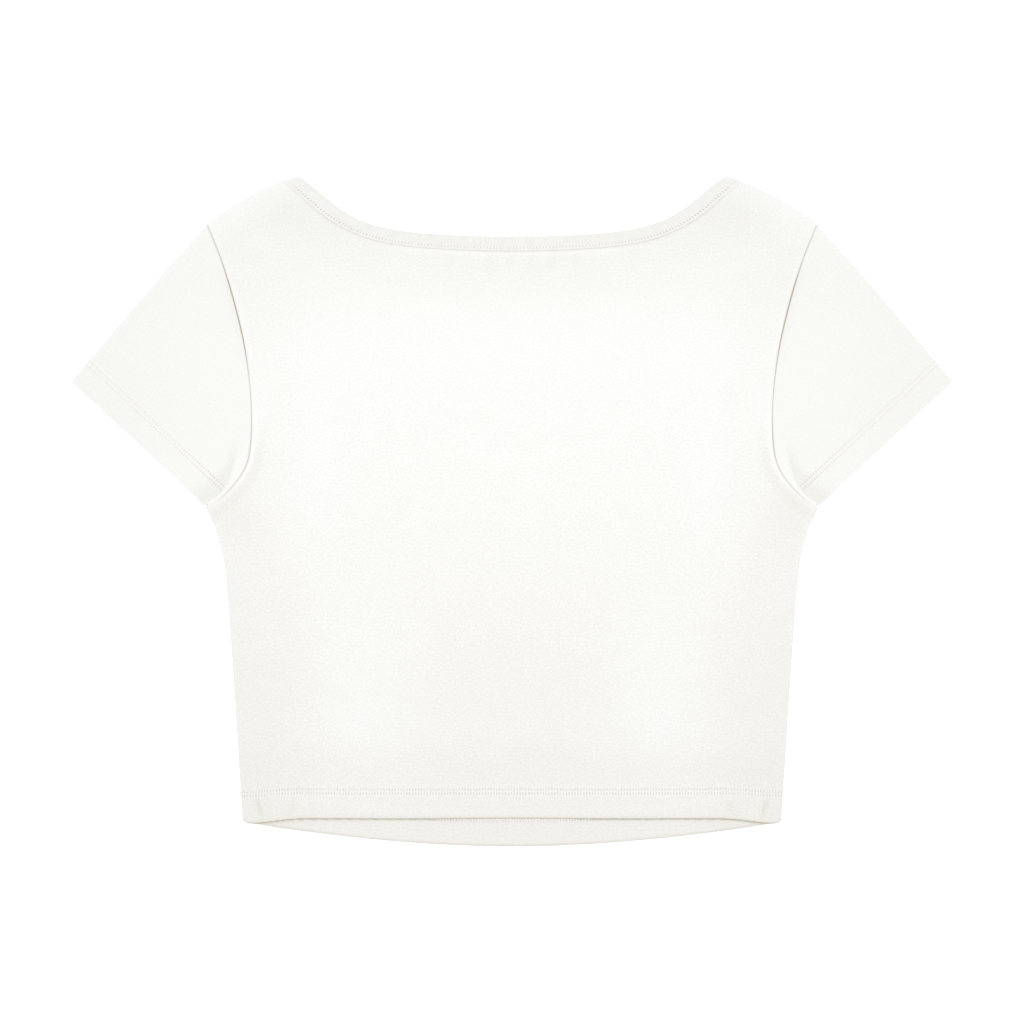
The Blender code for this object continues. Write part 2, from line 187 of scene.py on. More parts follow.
def squared_gaps(points, curve):
    return (points ** 2).sum(1)[:, None] + (curve ** 2).sum(1) - 2.0 * points @ curve.T


def beside(points, curve):
    """Distance in plan of points from a curve, positive on its left, and how far along they lie."""
    index = np.argmin(squared_gaps(points, curve), axis=1)
    offset = points - curve[index]
    across = np.einsum("ij,ij->i", offset, left_normals(curve)[index])
    inside = (index > 0) & (index < len(curve) - 1)
    straight = np.linalg.norm(offset, axis=1) * np.where(across < 0.0, -1.0, 1.0)
    return np.where(inside, across, straight), index / (len(curve) - 1)


def seam_place(points, seam):
    """Distance of points from a seam on either side, and how far along it they lie."""
    across, along = beside(points, seam)
    return np.abs(across), along


def away(points, curve):
    return seam_place(points, curve)[0]


def binding_seam(neck_edge):
    """Seam under the binding: the neck edge moved out by its width, up to the shoulder fold.

    The band is a little wider where the neck turns up towards the shoulder.
    """
    width = BINDING_WIDTH + BINDING_SPREAD * swell(neck_edge[:, :1], SPREAD_PLACE, SPREAD_REACH)
    moved = neck_edge + width * left_normals(neck_edge)
    clear = lengths_along(neck_edge) > 1.3 * BINDING_WIDTH
    rows = np.vstack((neck_tip[:1], moved[clear][::36], moved[-1:]))
    rows[-1, 0] = 0.0
    return smooth_curve(rows)


side_seam, armhole, shoulder, back_neck, front_neck, back_hem, front_hem, sleeve_top = (
    smooth_curve(rows) for rows in (SIDE_SEAM, ARMHOLE, SHOULDER, BACK_NECK, FRONT_NECK,
                                    BACK_HEM, FRONT_HEM, SLEEVE_TOP))
neck_tip = smooth_curve(NECK_TIP, 90)
back_seam, front_seam = binding_seam(back_neck), binding_seam(front_neck)
fold_lines = np.vstack((side_seam, shoulder, neck_tip, sleeve_top))[::3]


def from_folds(points):
    return np.sqrt(np.maximum(squared_gaps(points, fold_lines).min(axis=1), 0.0))


def level_on(curve, across):
    """Height in plan of a curve that runs between side and centre, at places across."""
    order = np.argsort(curve[:, 0])
    return np.interp(across, curve[order, 0], curve[order, 1])


def above_hem(points, hem):
    """Height in plan of points above a body hem."""
    return points[:, 1] - level_on(hem, points[:, 0])


def wall(edge_distance, hem_depth):
    """Cloth thickness: single cloth, or the doubled band along a hem."""
    return blend(BODY_WALL, HEM_WALL, fade(edge_distance, hem_depth, hem_depth + HEM_EASE))


def fold_radius(edge_distance, hem_depth):
    band = fade(edge_distance, hem_depth, hem_depth + HEM_EASE)
    return blend(BODY_FOLD_RADIUS, HEM_FOLD_RADIUS, band)


def side_radius(points, hem):
    """Radius of a body fold, which becomes the cuff's and the binding's where it meets them."""
    radius = fold_radius(above_hem(points, hem), BODY_HEM_DEPTH)
    for corner, other in ((armhole[0], HEM_FOLD_RADIUS), (neck_tip[0], BINDING_FOLD_RADIUS)):
        distance = np.linalg.norm(points - corner, axis=1)
        radius = blend(radius, other, fade(distance, 0.0, CORNER_REACH))
    return radius


def under_back(points):
    """Top of what the back lies on: front cloth, front binding, or bare floor in its scoop."""
    on_front = points[:, 1] < level_on(front_neck, points[:, 0])
    reach = away(points, front_neck) * np.where(on_front, 1.0, -1.0)
    front_cloth = wall(above_hem(points, front_hem), BODY_HEM_DEPTH)
    off_binding = ramp(reach, BINDING_WIDTH + NECK_BRIDGE, BINDING_WIDTH + 2.4 * NECK_BRIDGE)
    on_cloth = blend(BINDING_WALL, front_cloth, off_binding)
    return on_cloth * ramp(reach, -2.3 * NECK_BRIDGE, -NECK_BRIDGE)


def lifted(points, height, fold_height):
    """Cloth height, rising to the full height of the fold near a folded edge."""
    radius = 0.5 * fold_height
    return blend(height, fold_height, fade(from_folds(points), radius, radius + FOLD_SETTLE))


def fold_light(points):
    """Share of painted light at a fold: most on the sleeves and shoulders."""
    fold = from_folds(points)
    near = 0.34 * swell(fold, 0.0, 0.9) + 0.05 * fade(fold, 0.0, 6.0)
    return near * (0.60 + 0.40 * ramp(points[:, 1], -10.0, 40.0))


def rolled(distance, radius):
    """How far a cloth edge drops as it rolls over, at a distance in from that edge."""
    left = np.clip(radius - distance, 0.0, radius)
    return radius - np.sqrt(radius ** 2 - left ** 2)


def ripples(points, length, seed, count=14):
    """Soft uneven waves between -1 and 1, about one length apart, in every direction."""
    draw = np.random.default_rng(seed)
    angle = draw.uniform(0.0, math.pi, count)
    pitch = 2.0 * math.pi / (length * draw.uniform(0.7, 1.6, count))
    phase = draw.uniform(0.0, 2.0 * math.pi, count)
    waves = np.sin(points @ (np.array((np.cos(angle), np.sin(angle))) * pitch) + phase)
    return waves.sum(axis=1) / math.sqrt(2.0 * count)


def crease(points, path, sharp_side, soft_side):
    """Depth from 0 to 1 of a pressed line: sharp on the right of its path, soft on the left."""
    distance, along = beside(points, path)
    width = np.where(distance > 0.0, soft_side, sharp_side)
    return swell(distance, 0.0, width) * np.sin(math.pi * np.clip(along, 0.02, 0.98)) ** 0.6


def crossing_slant(line, rail):
    """Sine of the angle at which a rail leaves a folded edge, or 1 where it runs on along it."""
    first, second = line[1] - line[0], rail[6] - rail[0]
    turn = first[0] * second[1] - first[1] * second[0]
    sine = abs(turn) / (np.linalg.norm(first) * np.linalg.norm(second))
    return sine if sine > 0.5 else 1.0


def fold_strip(line, radii, start_rail, end_rail, upper, middle):
    """Rings round a folded edge, outermost first; the cloth is on the left of the line.

    Towards each end the rings lean over, until they stop on the rail that crosses the fold.
    """
    arc = (radii - FOLD_STRAIGHT)[:, None]
    inset = np.hstack((0.0 * arc, FOLD_BULGE * arc * (1.0 - np.cos(FOLD_ANGLES))))
    rise = np.hstack((0.0 * arc + middle, FOLD_STRAIGHT + arc * np.sin(FOLD_ANGLES)))
    places = line[:, None] + inset[:, :, None] * left_normals(line)[:, None]
    travelled = lengths_along(line)
    ease = min(CORNER_EASE, 0.5 * travelled[-1])
    for index, rail, ahead, left in ((0, start_rail, line[:2], travelled),
                                     (-1, end_rail, line[:-3:-1], travelled[-1] - travelled)):
        stop = at_lengths(rail, inset[index] / crossing_slant(ahead, rail))
        places = places + fade(left, 0.0, ease)[:, None, None] * (stop - places[index])
    height = radii[:, None] + (rise if upper else -rise)
    return np.dstack((places, height)).transpose(1, 0, 2)


def coons(bottom, left, top, right):
    """Patch of plan points between four edges; rows run from bottom to top."""
    across = 0.5 * (part_way(bottom) + part_way(top))[None, :, None]
    up = 0.5 * (part_way(left) + part_way(right))[:, None, None]
    ruled = blend(bottom, top, up) + blend(left[:, None], right[:, None], across)
    return ruled - blend(blend(bottom[0], bottom[-1], across), blend(top[0], top[-1], across), up)


def graded(total, first, step, last, growth=1.35):
    """Lengths from 0 to total: small steps at either end that grow to the open step between."""
    ends = []
    for small in (first, last):
        count = max(int(math.log(step / small) / math.log(growth)) + 1, 1)
        ends.append(small * growth ** np.arange(count))
    free = total - ends[0].sum() - ends[1].sum()
    middle = max(int(round(free / step)), 1)
    gaps = np.concatenate((ends[0], np.full(middle, free / middle), ends[1][::-1]))
    return np.concatenate(([0.0], np.cumsum(gaps)))


def up_from_hem(total, band, last):
    """Lengths up from a hem: close through its stitched band, open above it."""
    low = graded(band, EDGE_STEP, BAND_STEP, BAND_STEP)
    return np.concatenate((low, band + graded(total - band, BAND_STEP, OPEN_STEP, last)[1:]))


class Sheet:
    """Points, faces and cloth facts of one open surface, gathered grid by grid."""

    def __init__(self):
        self.places, self.faces, self.facts, self.count = [], [], [], 0

    def grid(self, places, outward, side, facts_of):
        """Add a grid of points given on the +X side; outward says which way its faces turn."""
        rows, columns = places.shape[:2]
        flat = places.reshape(-1, 3)
        ids = self.count + np.arange(rows * columns).reshape(rows, columns)
        quads = np.stack((ids[:-1, :-1], ids[:-1, 1:], ids[1:, 1:], ids[1:, :-1]), axis=-1)
        quads = quads.reshape(-1, 4)
        self.faces.append(quads if outward == (side > 0.0) else quads[:, ::-1])
        self.facts.append(facts_of(flat[:, :2], side))
        self.places.append(flat * (side, 1.0, 1.0))
        self.count += len(flat)

    def patch(self, edges, strips, height, outward, side, facts_of):
        """Add the patch between four edges at a cloth's height, and the fold strips beside it.

        The edge points that the patch shares with its strips get the strips' own heights.
        """
        plan = coons(*edges)
        places = np.dstack((plan, height(plan.reshape(-1, 2), side).reshape(plan.shape[:2])))
        for point in np.vstack([strip[-1] for strip in strips]):
            gap = np.abs(plan - point[:2]).sum(axis=2)
            row, column = np.unravel_index(np.argmin(gap), gap.shape)
            if gap[row, column] < SAME_POINT:
                places[row, column] = point
        self.grid(places, outward, side, facts_of)
        for strip in strips:
            self.grid(strip, not outward, side, facts_of)


def mesh_object(name, places, faces, materials):
    """A new object in the scene, from places in millimetres."""
    mesh = bpy.data.meshes.new(name)
    mesh.from_pydata((places * MM).tolist(), [], faces)
    for material in materials:
        mesh.materials.append(material)
    piece = bpy.data.objects.new(name, mesh)
    bpy.context.scene.collection.objects.link(piece)
    return piece


def settle(mesh):
    """Keep every point of a cloth on the floor or above it, and no higher than a hem's fold."""
    places = np.empty(3 * len(mesh.vertices), np.float32)
    mesh.vertices.foreach_get("co", places)
    places[2::3] = np.clip(places[2::3], 0.0, (2.0 * HEM_FOLD_RADIUS + SEW_GAP) * MM)
    mesh.vertices.foreach_set("co", places)


def cloth_object(name, sheet, thick, materials):
    """Thicken a sheet inwards into cloth and keep the result as the piece's own mesh.

    The facts of each point are its share of the full thickness, its painted shade (painted light
    below 0), the painted shadow it takes in a seam's groove, how deep a needle dents it, its place
    along the knit, its place along the stitch rows and its tone.
    """
    facts = np.vstack(sheet.facts)
    piece = mesh_object(name, np.vstack(sheet.places), np.vstack(sheet.faces).tolist(), materials)
    mesh = piece.data
    corner = np.zeros(len(mesh.loops), np.int32)
    mesh.loops.foreach_get("vertex_index", corner)
    for label, column in (("knit", 4), ("stitch rows", 6)):
        places = facts[corner, column:column + 2] * MM
        mesh.uv_layers.new(name=label).data.foreach_set("uv", places.astype(np.float32).ravel())
    for label, column in (("shade", 1), ("groove_shadow", 2), ("dent", 3), ("tone", 8)):
        mark = mesh.attributes.new(label, "FLOAT", "POINT")
        mark.data.foreach_set("value", facts[:, column].astype(np.float32))
    group = piece.vertex_groups.new(name="thickness")
    for index, weight in enumerate(facts[:, 0]):
        group.add([index], float(weight), "REPLACE")
    weld = piece.modifiers.new("joined edges", "WELD")
    weld.merge_threshold = 0.01 * MM
    solid = piece.modifiers.new("cloth thickness", "SOLIDIFY")
    solid.thickness = thick * MM
    solid.offset = -1.0
    solid.vertex_group = group.name
    solid.material_offset = 1
    made = piece.evaluated_get(bpy.context.evaluated_depsgraph_get())
    piece.data = bpy.data.meshes.new_from_object(made)
    piece.modifiers.clear()
    piece.data.name = name
    settle(piece.data)
    piece.data.shade_smooth()
    piece.data.set_sharp_from_angle(angle=math.radians(60.0))
    return piece


class Value:
    """An output in a shader tree; arithmetic with it adds Math nodes to the tree."""

    def __init__(self, socket):
        self.socket, self.tree = socket, socket.id_data

    def math(self, operation, *others):
        node = self.tree.nodes.new("ShaderNodeMath")
        node.operation = operation
        for socket, value in zip(node.inputs, (self, *others)):
            feed(socket, value)
        return Value(node.outputs[0])

    def __add__(self, other):
        return self.math("ADD", other)

    def __sub__(self, other):
        return self.math("SUBTRACT", other)

    def __mul__(self, other):
        return self.math("MULTIPLY", other)

    def __truediv__(self, other):
        return self.math("DIVIDE", other)


def feed(socket, value):
    """Feed a shader socket with a Value, a plain number, a vector or a colour."""
    if isinstance(value, Value):
        value.tree.links.new(value.socket, socket)
    elif socket.type == "RGBA":
        socket.default_value = (*value, 1.0)
    else:
        socket.default_value = value


def noise(place, scale, detail):
    """Noise over a place in metres, stretched by a scale for each axis."""
    stretch = place.tree.nodes.new("ShaderNodeVectorMath")
    stretch.operation = "MULTIPLY"
    texture = place.tree.nodes.new("ShaderNodeTexNoise")
    for socket, value in ((stretch.inputs[0], place), (stretch.inputs[1], scale),
                          (texture.inputs["Vector"], Value(stretch.outputs[0])),
                          (texture.inputs["Scale"], 1.0), (texture.inputs["Detail"], detail)):
        feed(socket, value)
    return Value(texture.outputs[0])


def mixed(factor, first, second):
    """Colour between two, by a factor that is held between 0 and 1."""
    node = factor.tree.nodes.new("ShaderNodeMix")
    node.data_type = "RGBA"
    node.clamp_factor = True
    for index, value in ((0, factor), (6, first), (7, second)):
        feed(node.inputs[index], value)
    return Value(node.outputs[2])


def new_group(name, given, results):
    """An empty shader node group that is given a place and named numbers.

    Gives the group, its result sockets, and as Values the place, its two parts and the numbers.
    """
    group = bpy.data.node_groups.new(name, "ShaderNodeTree")
    group.interface.new_socket("Place", in_out="INPUT", socket_type="NodeSocketVector")
    for label, value in given:
        socket = group.interface.new_socket(label, in_out="INPUT", socket_type="NodeSocketFloat")
        socket.default_value = value
    for label in results:
        group.interface.new_socket(label, in_out="OUTPUT", socket_type="NodeSocketFloat")
    sockets = group.nodes.new("NodeGroupInput").outputs
    apart = group.nodes.new("ShaderNodeSeparateXYZ")
    group.links.new(sockets["Place"], apart.inputs[0])
    return (group, group.nodes.new("NodeGroupOutput").inputs, Value(sockets["Place"]),
            Value(apart.outputs[0]), Value(apart.outputs[1]),
            *(Value(sockets[label]) for label, value in given))


YARN_WIDTH = 1.25


def make_knit_group():
    """Jersey: columns of V stitches on the face, rows of purl bumps inside, and uneven yarn."""
    group, result, place, x, y, wale_width, course_height, yarn_length = new_group(
        "jersey knit", (("Wale Width", 0.72 * MM), ("Course Height", 0.56 * MM),
                        ("Yarn Length", 1.5 * MM)),
        ("Face Loops", "Inside Loops", "Yarn", "Mottle"))
    across, up = x / wale_width, y / course_height
    leg = across.math("PINGPONG", 0.5) * 2.0
    loop = ((leg * -0.5 + up) * math.pi).math("SINE").math("ABSOLUTE")
    wave = (across * (2.0 * math.pi)).math("COSINE")
    purl = ((wave * 0.22 + up) * math.pi).math("SINE").math("ABSOLUTE")
    drawn = group.nodes.new("ShaderNodeCombineXYZ")
    feed(drawn.inputs[0], x / yarn_length)
    feed(drawn.inputs[1], y / (YARN_WIDTH * MM))
    feed(result["Face Loops"], (leg * math.pi).math("SINE") * loop)
    feed(result["Inside Loops"], purl)
    feed(result["Yarn"], noise(Value(drawn.outputs[0]), (1.0, 1.0, 1.0), 1.0))
    feed(result["Mottle"], noise(place, (60.0, 75.0, 1.0), 3.0))
    return group


def make_needle_group():
    """Dents that the needle leaves along one or two stitch rows."""
    group, result, place, x, y, first_row, second_row, pitch, dent_along, dent_across = new_group(
        "needle rows", (("First Row", 0.0), ("Second Row", 0.0), ("Pitch", 2.0 * MM),
                        ("Dent Along", 0.4 * MM), ("Dent Across", 0.5 * MM)), ("Dent",))
    along = x.math("PINGPONG", pitch * 0.5) / dent_along
    first, second = ((y - row).math("ABSOLUTE") for row in (first_row, second_row))
    across = first.math("MINIMUM", second) / dent_across
    dent = ((along * along + across * across) * -1.0).math("EXPONENT")
    feed(result["Dent"], dent * (noise(place, (420.0, 420.0, 1.0), 0.0) * 0.7 + 0.6))
    return group


knit_group = make_knit_group()
needle_group = make_needle_group()


def placed(tree, group, map_name, values):
    """Put a shared group in a material, fed by one of the mesh's maps and sizes in millimetres."""
    where = tree.nodes.new("ShaderNodeUVMap")
    where.uv_map = map_name
    node = tree.nodes.new("ShaderNodeGroup")
    node.node_tree = group
    tree.links.new(where.outputs[0], node.inputs["Place"])
    for label, value in values:
        feed(node.inputs[label], value * MM)
    return {socket.name: Value(socket) for socket in node.outputs}


def point_value(tree, label):
    node = tree.nodes.new("ShaderNodeAttribute")
    node.attribute_name = label
    return Value(node.outputs["Fac"])


def new_material(name):
    material = bpy.data.materials.new(name)
    material.use_nodes = True
    return material, material.node_tree, material.node_tree.nodes["Principled BSDF"]


def finish_shader(shader, colour, roughness, relief, distance):
    """Feed a shader with its colour, its roughness and a bump of a distance in millimetres."""
    bump = shader.id_data.nodes.new("ShaderNodeBump")
    for socket, value in ((bump.inputs["Distance"], distance * MM), (bump.inputs["Height"], relief),
                          (shader.inputs["Base Color"], colour),
                          (shader.inputs["Roughness"], roughness),
                          (shader.inputs["Normal"], Value(bump.outputs[0]))):
        feed(socket, value)


JERSEY = (0.806, 0.806, 0.793)
JERSEY_THIN = (0.732, 0.730, 0.712)
# Colours of painted shade (warm and pale), of painted shadow in grooves and needle dents, and of
# painted light
JERSEY_SHADE = (0.640, 0.605, 0.505)
PALE_SHADE = (0.640, 0.632, 0.583)
GROOVE_SHADE = (0.430, 0.366, 0.250)
JERSEY_LIT = (0.930, 0.930, 0.922)


def jersey_material(name, loops, rows, dent, grain=1.0, yarn_length=1.5, seam_shade=1.0):
    """Cream cotton jersey: knit loops, uneven yarn, painted shade and light, and dents along its
    stitch rows.

    rows are the first row, second row and pitch; dent is its size along, size across, depth and
    share of the painted shadow colour in each dent; grain is how plainly the yarn shows; seam_shade
    is how much of the painted shadow in the seam grooves shows. The shade is painted shade, and
    below 0 it is painted light. The tone is 0 where the cloth looks smooth and pale, and 1 where
    its yarn shows and its painted shade is warm.
    """
    material, tree, shader = new_material(name)
    knit = placed(tree, knit_group, "knit", (("Yarn Length", yarn_length),))
    needle = placed(tree, needle_group, "stitch rows",
                    zip(("First Row", "Second Row", "Pitch", "Dent Along", "Dent Across"),
                        (*rows, *dent)))
    shade, tone, groove_shadow, dented = (point_value(tree, label)
                                   for label in ("shade", "tone", "groove_shadow", "dent"))
    in_shade = shade.math("MAXIMUM", 0.0).math("MINIMUM", 1.0)
    contrast = (in_shade * 1.7 + 0.50) * (tone * 0.8 + 0.3) * grain
    thin = knit[loops] * -0.5 + knit["Yarn"] * 3.4 + knit["Mottle"] * 0.6 - 1.75
    colour = mixed(thin * contrast + 0.5, JERSEY, JERSEY_THIN)
    # Painted shade, with its hue set by the tone, then painted light where the shade is below 0
    colour = mixed(shade, colour, mixed(tone * 2.0 - 1.0, PALE_SHADE, JERSEY_SHADE))
    colour = mixed(shade * -1.0, colour, JERSEY_LIT)
    # Painted shadow in the needle dents and the seam grooves; the dents' bump below is real relief
    dents = needle["Dent"] * dented
    colour = mixed(dents * dent[3] + groove_shadow * seam_shade, colour, GROOVE_SHADE)
    relief = knit[loops] * 0.035 + knit["Yarn"] * 0.03 - dents * dent[2]
    finish_shader(shader, colour, knit["Mottle"] * 0.12 + 0.84, relief, 1.0)
    feed(shader.inputs["Specular IOR Level"], 0.2)
    feed(shader.inputs["Sheen Weight"], 0.08)
    return material


HEM_ROWS = (15.95, 18.5, 1.85)
HEM_DENT = (0.40, 0.58, 0.22, 0.42)
LOOPER_DENT = (0.40, 0.58, 0.22, 0.20)
ROW_LEVEL = -195.7
ROW_PLACES = (0.0, 70.0, 110.0, 135.0, 145.0, 153.0, 160.0, 165.0, 175.0)
ROW_RISES = (0.1, 0.0, 0.1, 0.35, 0.1, -0.6, -1.05, -1.3, -1.6)
ROW_DITCH = 0.7
ROWS_MIDDLE = 17.2
# The knit and stitch maps start this far out, so that no place on them is below 0
MAP_START = 400.0
ARM_ROLL = 0.55
NECK_ROLL = 0.20
SEAM_PILE = 0.28
HEM_ROLL = 0.85
HEM_DROOP = 0.40
HEM_CREASE = np.array(((162.4, -181.6), (161.6, -185.6), (160.7, -189.1), (158.8, -194.7),
                       (157.9, -196.7)))
SOFT_CREASE = np.array(((139.2, -183.0), (140.0, -190.0), (142.0, -195.4)))
NECK_PULLS = ((-40.2, 0.9), (-13.4, 1.0), (-1.3, 0.8), (12.8, 1.0), (27.0, 0.7), (40.2, 0.8))
# Places along the armhole seam, and the strengths of the painted shadow in its groove there
SEAM_PLACES = (0.03, 0.10, 0.20, 0.28, 0.37, 0.47, 0.53, 0.58, 0.67, 0.78, 0.83, 0.88, 0.95)
SEAM_SHADOW_STRENGTHS = (0.0, 0.34, 0.46, 0.52, 0.24, 0.28, 0.48, 0.66, 0.82, 0.86, 0.62, 0.46, 0.43)
# Bands of painted shade across the body: level, width and strength
BODY_SHADE_BANDS = ((143.0, 13.0, 0.04), (100.0, 20.0, -0.05), (-138.0, 15.0, -0.05),
              (-163.0, 9.0, 0.03))

hem_crease, soft_crease = smooth_curve(HEM_CREASE, 120), smooth_curve(SOFT_CREASE, 120)


def row_level(across, hem):
    """Height in plan that a body hem's stitch rows are measured up from."""
    if hem is front_hem:
        return level_on(hem, across)
    return ROW_LEVEL + np.interp(across, ROW_PLACES, ROW_RISES)


def hem_place(points, side, hem):
    """Place along a body hem's stitch rows, which dip a little towards the side folds."""
    x, y = points.T
    return np.column_stack((side * x + MAP_START, y - row_level(x, hem)))


def neck_pulls(full, below_seam):
    """Depth from 0 to 1 of the small pulls in the cloth below the neck seam."""
    pulls = sum(depth * swell(full[:, 0], place, 1.7) for place, depth in NECK_PULLS)
    return pulls * fade(below_seam, 3.0, 17.0)


def stitch_ditch(place, rows, width):
    """Depth from 0 to 1 of the lines that two stitch rows press into cloth."""
    return sum(swell(place[:, 1], row, width) for row in rows[:2])


def half_way_up(along):
    """The stretch of the armhole seam where the cloth pulls it open, from 0 to 1."""
    return ramp(along, 0.48, 0.60) * fade(along, 0.77, 0.90)


def seam_groove_shadow(arm, along):
    """Strength of the painted shadow in the armhole seam's groove: most half way up, and gone at
    the underarm.
    """
    return np.interp(along, SEAM_PLACES, SEAM_SHADOW_STRENGTHS) * swell(arm, 0.0, 0.5)


def arm_roll(along):
    """Size of the roll into the armhole seam: deepest half way up, and gone at the underarm."""
    return ARM_ROLL * (0.06 + 0.94 * ramp(along, 0.08, 0.30)) * (0.34 + 0.66 * half_way_up(along))


def back_cover(points):
    """Outer face of the smooth back panel, as the solid has it."""
    own = wall(above_hem(points, back_hem), BODY_HEM_DEPTH)
    by_binding = fade(away(points, back_seam), 2.0, 8.0)
    height = under_back(points) + LAYER_GAP + own + SEAM_ALLOWANCE_LIFT * by_binding
    return lifted(points, height, 2.0 * side_radius(points, back_hem))


def back_relief(points, side):
    """Creases, puckers and soft waves of the back, above its smooth cover."""
    full, fold = points * (side, 1.0), from_folds(points)
    arm, along = seam_place(points, armhole)
    waves = 0.16 * ripples(full, 60.0, 5) + 0.05 * ripples(full, 19.0, 8)
    waves += 0.45 * spot(points, (95.0, -95.0), (42.0, 85.0))
    lip = 0.30 * swell(arm, 1.8, 1.3) - 0.45 * fade(along, 0.22, 0.42) * swell(arm, 6.0, 3.2)
    pulls = 0.14 * neck_pulls(full, away(points, back_seam))
    ditch = 0.16 * stitch_ditch(hem_place(points, side, back_hem), HEM_ROWS, ROW_DITCH)
    at_rows = swell(above_hem(points, back_hem), ROWS_MIDDLE, 4.0)
    puckers = 0.05 * ripples(full * (1.0, 0.25), 3.4, 21) * at_rows
    pressed = 0.75 * crease(points, hem_crease, 0.5, 2.6)
    pressed += 0.50 * crease(points, soft_crease, 1.8, 2.2)
    return (ramp(fold, *BODY_FREE) * (waves + lip - pulls - ditch) + puckers
            - ramp(fold, 2.6, 6.0) * pressed)


def back_height(points, side):
    """Outer face of the back panel with its rolled edges."""
    fold, up = from_folds(points), above_hem(points, back_hem)
    arm, along = seam_place(points, armhole)
    below_seam = away(points, back_seam + SEW_GAP * left_normals(back_seam))
    drop = rolled(arm, arm_roll(along)) * ramp(fold, *ROLL_FREE)
    drop += rolled(below_seam, NECK_ROLL) * ramp(fold, *BINDING_FREE)
    drop -= SEAM_PILE * fade(below_seam, 0.5, 5.0) * ramp(fold, 2.6, 7.0)
    hem_drop = rolled(up, HEM_ROLL) + HEM_DROOP * fade(up, 0.0, 3.6)
    drop += hem_drop * fade(points[:, 0], *HEM_END)
    return back_cover(points) + back_relief(points, side) - drop


def smooth_edge(points, arm):
    """0 beside a fold or an armhole seam, where painted light evens the cloth out, and 1 away from
    them.
    """
    return ramp(np.minimum(from_folds(points), arm), 0.8, 5.5)


def low_hollow(arm, along):
    """Share from 0 to 1 of the soft hollow in the body beside the lower armhole seam."""
    return swell(arm, 6.0, 3.6) * fade(along, 0.20, 0.38)


def body_shade_tone(points, arm, along):
    """Tone of a body panel, for its painted shade's hue and its grain: pale across the shoulders,
    warm and grainy below.
    """
    x, y = points.T
    outward = 0.78 + 0.22 * ramp(x, 60.0, 110.0) - 0.56 * ramp(x, 130.0, 162.0)
    smooth = 1.0 - ramp(y, -60.0, 20.0) * (1.0 - smooth_edge(points, arm))
    warmth = (0.5 + 0.5 * fade(y, 20.0, 150.0) * outward) * (0.4 + 0.6 * smooth)
    return warmth + 0.08 * low_hollow(arm, along)


def painted_body_shade(points):
    """Painted soft overall shade: lightest across the shoulder blades, darker towards hem and
    corners.
    """
    x, y = points.T
    shade = 0.01 + 0.25 * fade(y, -190.0, 60.0) + 0.12 * ramp(x, 110.0, 175.0)
    shade += 0.14 * ramp(y, 100.0, 200.0) * ramp(x, 70.0, 150.0)
    shade -= 0.18 * spot(points, (96.0, -122.0), (38.0, 65.0))
    shade -= 0.07 * spot(points, (130.0, 20.0), (20.0, 75.0))
    return shade + sum(depth * swell(y, level, width) for level, width, depth in BODY_SHADE_BANDS)


def thinned(thick, start, end, *edges):
    """Share of the hem's thickness that cloth has, which thins out towards its nearest edge."""
    return thick / HEM_WALL * (0.35 + 0.65 * ramp(np.min(edges, axis=0), start, end))


def body_facts(points, side, hem, thick, shade, groove_shadow, tone):
    """The facts of a body panel's points, in the order that cloth_object reads."""
    whole = np.ones(len(points))
    return np.column_stack((thick, shade, groove_shadow, whole, points * (side, 1.0) + MAP_START,
                            hem_place(points, side, hem), tone * whole))


def back_facts(points, side):
    x, y = points.T
    up, fold = above_hem(points, back_hem), from_folds(points)
    arm, along = seam_place(points, armhole)
    below_seam = away(points, back_seam)
    # The shade is painted: darker below the binding seam, in the neck pulls, near the hem edge, in
    # the underarm hollow and in the creases; lighter just below the seam, between the stitch rows,
    # on the armhole lip and at the folds
    off_fold = 1.0 - 0.65 * fade(fold, 2.0, 20.0) * ramp(y, 100.0, 170.0)
    shade = (painted_body_shade(points) + 0.24 * fade(below_seam, 0.0, 45.0)) * off_fold
    shade -= 0.30 * swell(below_seam, 0.5, 2.4) * fade(x, 55.0, 95.0)
    pulls = neck_pulls(points * (side, 1.0), below_seam)
    shade += 0.20 * pulls * ramp(below_seam, 0.5, 4.0)
    shade += 0.14 * fade(up, 0.5, 4.5) * fade(x, 15.0, 60.0) + 0.16 * fade(up, 0.0, 3.4)
    shade -= 0.10 * swell(up, ROWS_MIDDLE, 1.7) + fold_light(points)
    shade += 0.20 * low_hollow(arm, along) + 0.18 * spot(points, (176.0, -7.0), (15.0, 15.0))
    shade -= 0.12 * swell(arm, 1.9, 1.3) * (0.3 + 0.7 * half_way_up(along))
    low_flank = ramp(along, 0.08, 0.16) * fade(along, 0.30, 0.42)
    shade -= 0.30 * swell(arm, 1.6, 1.4) * low_flank
    shade -= 0.12 * spot(points, (160.0, 62.0), (9.0, 24.0))
    shade += 0.36 * crease(points, hem_crease, 0.7, 2.2)
    shade += 0.22 * crease(points, soft_crease, 1.2, 1.8)
    # Painted shadow in the armhole seam, under the hem's edge and along the binding seam
    groove_shadow = seam_groove_shadow(arm, along) + 0.42 * swell(up, 0.0, 0.5)
    groove_shadow += 0.10 * swell(below_seam, 0.1, 0.4) * ramp(fold, *BINDING_FREE)
    thick = thinned(wall(up, BODY_HEM_DEPTH), 0.1, 1.2, arm, up, below_seam)
    return body_facts(points, side, back_hem, thick, shade, groove_shadow,
                      body_shade_tone(points, arm, along))


SIDE_CLEAR = 9.0
SHOULDER_CLEAR = 3.4
TIP_CLEAR = 6.0


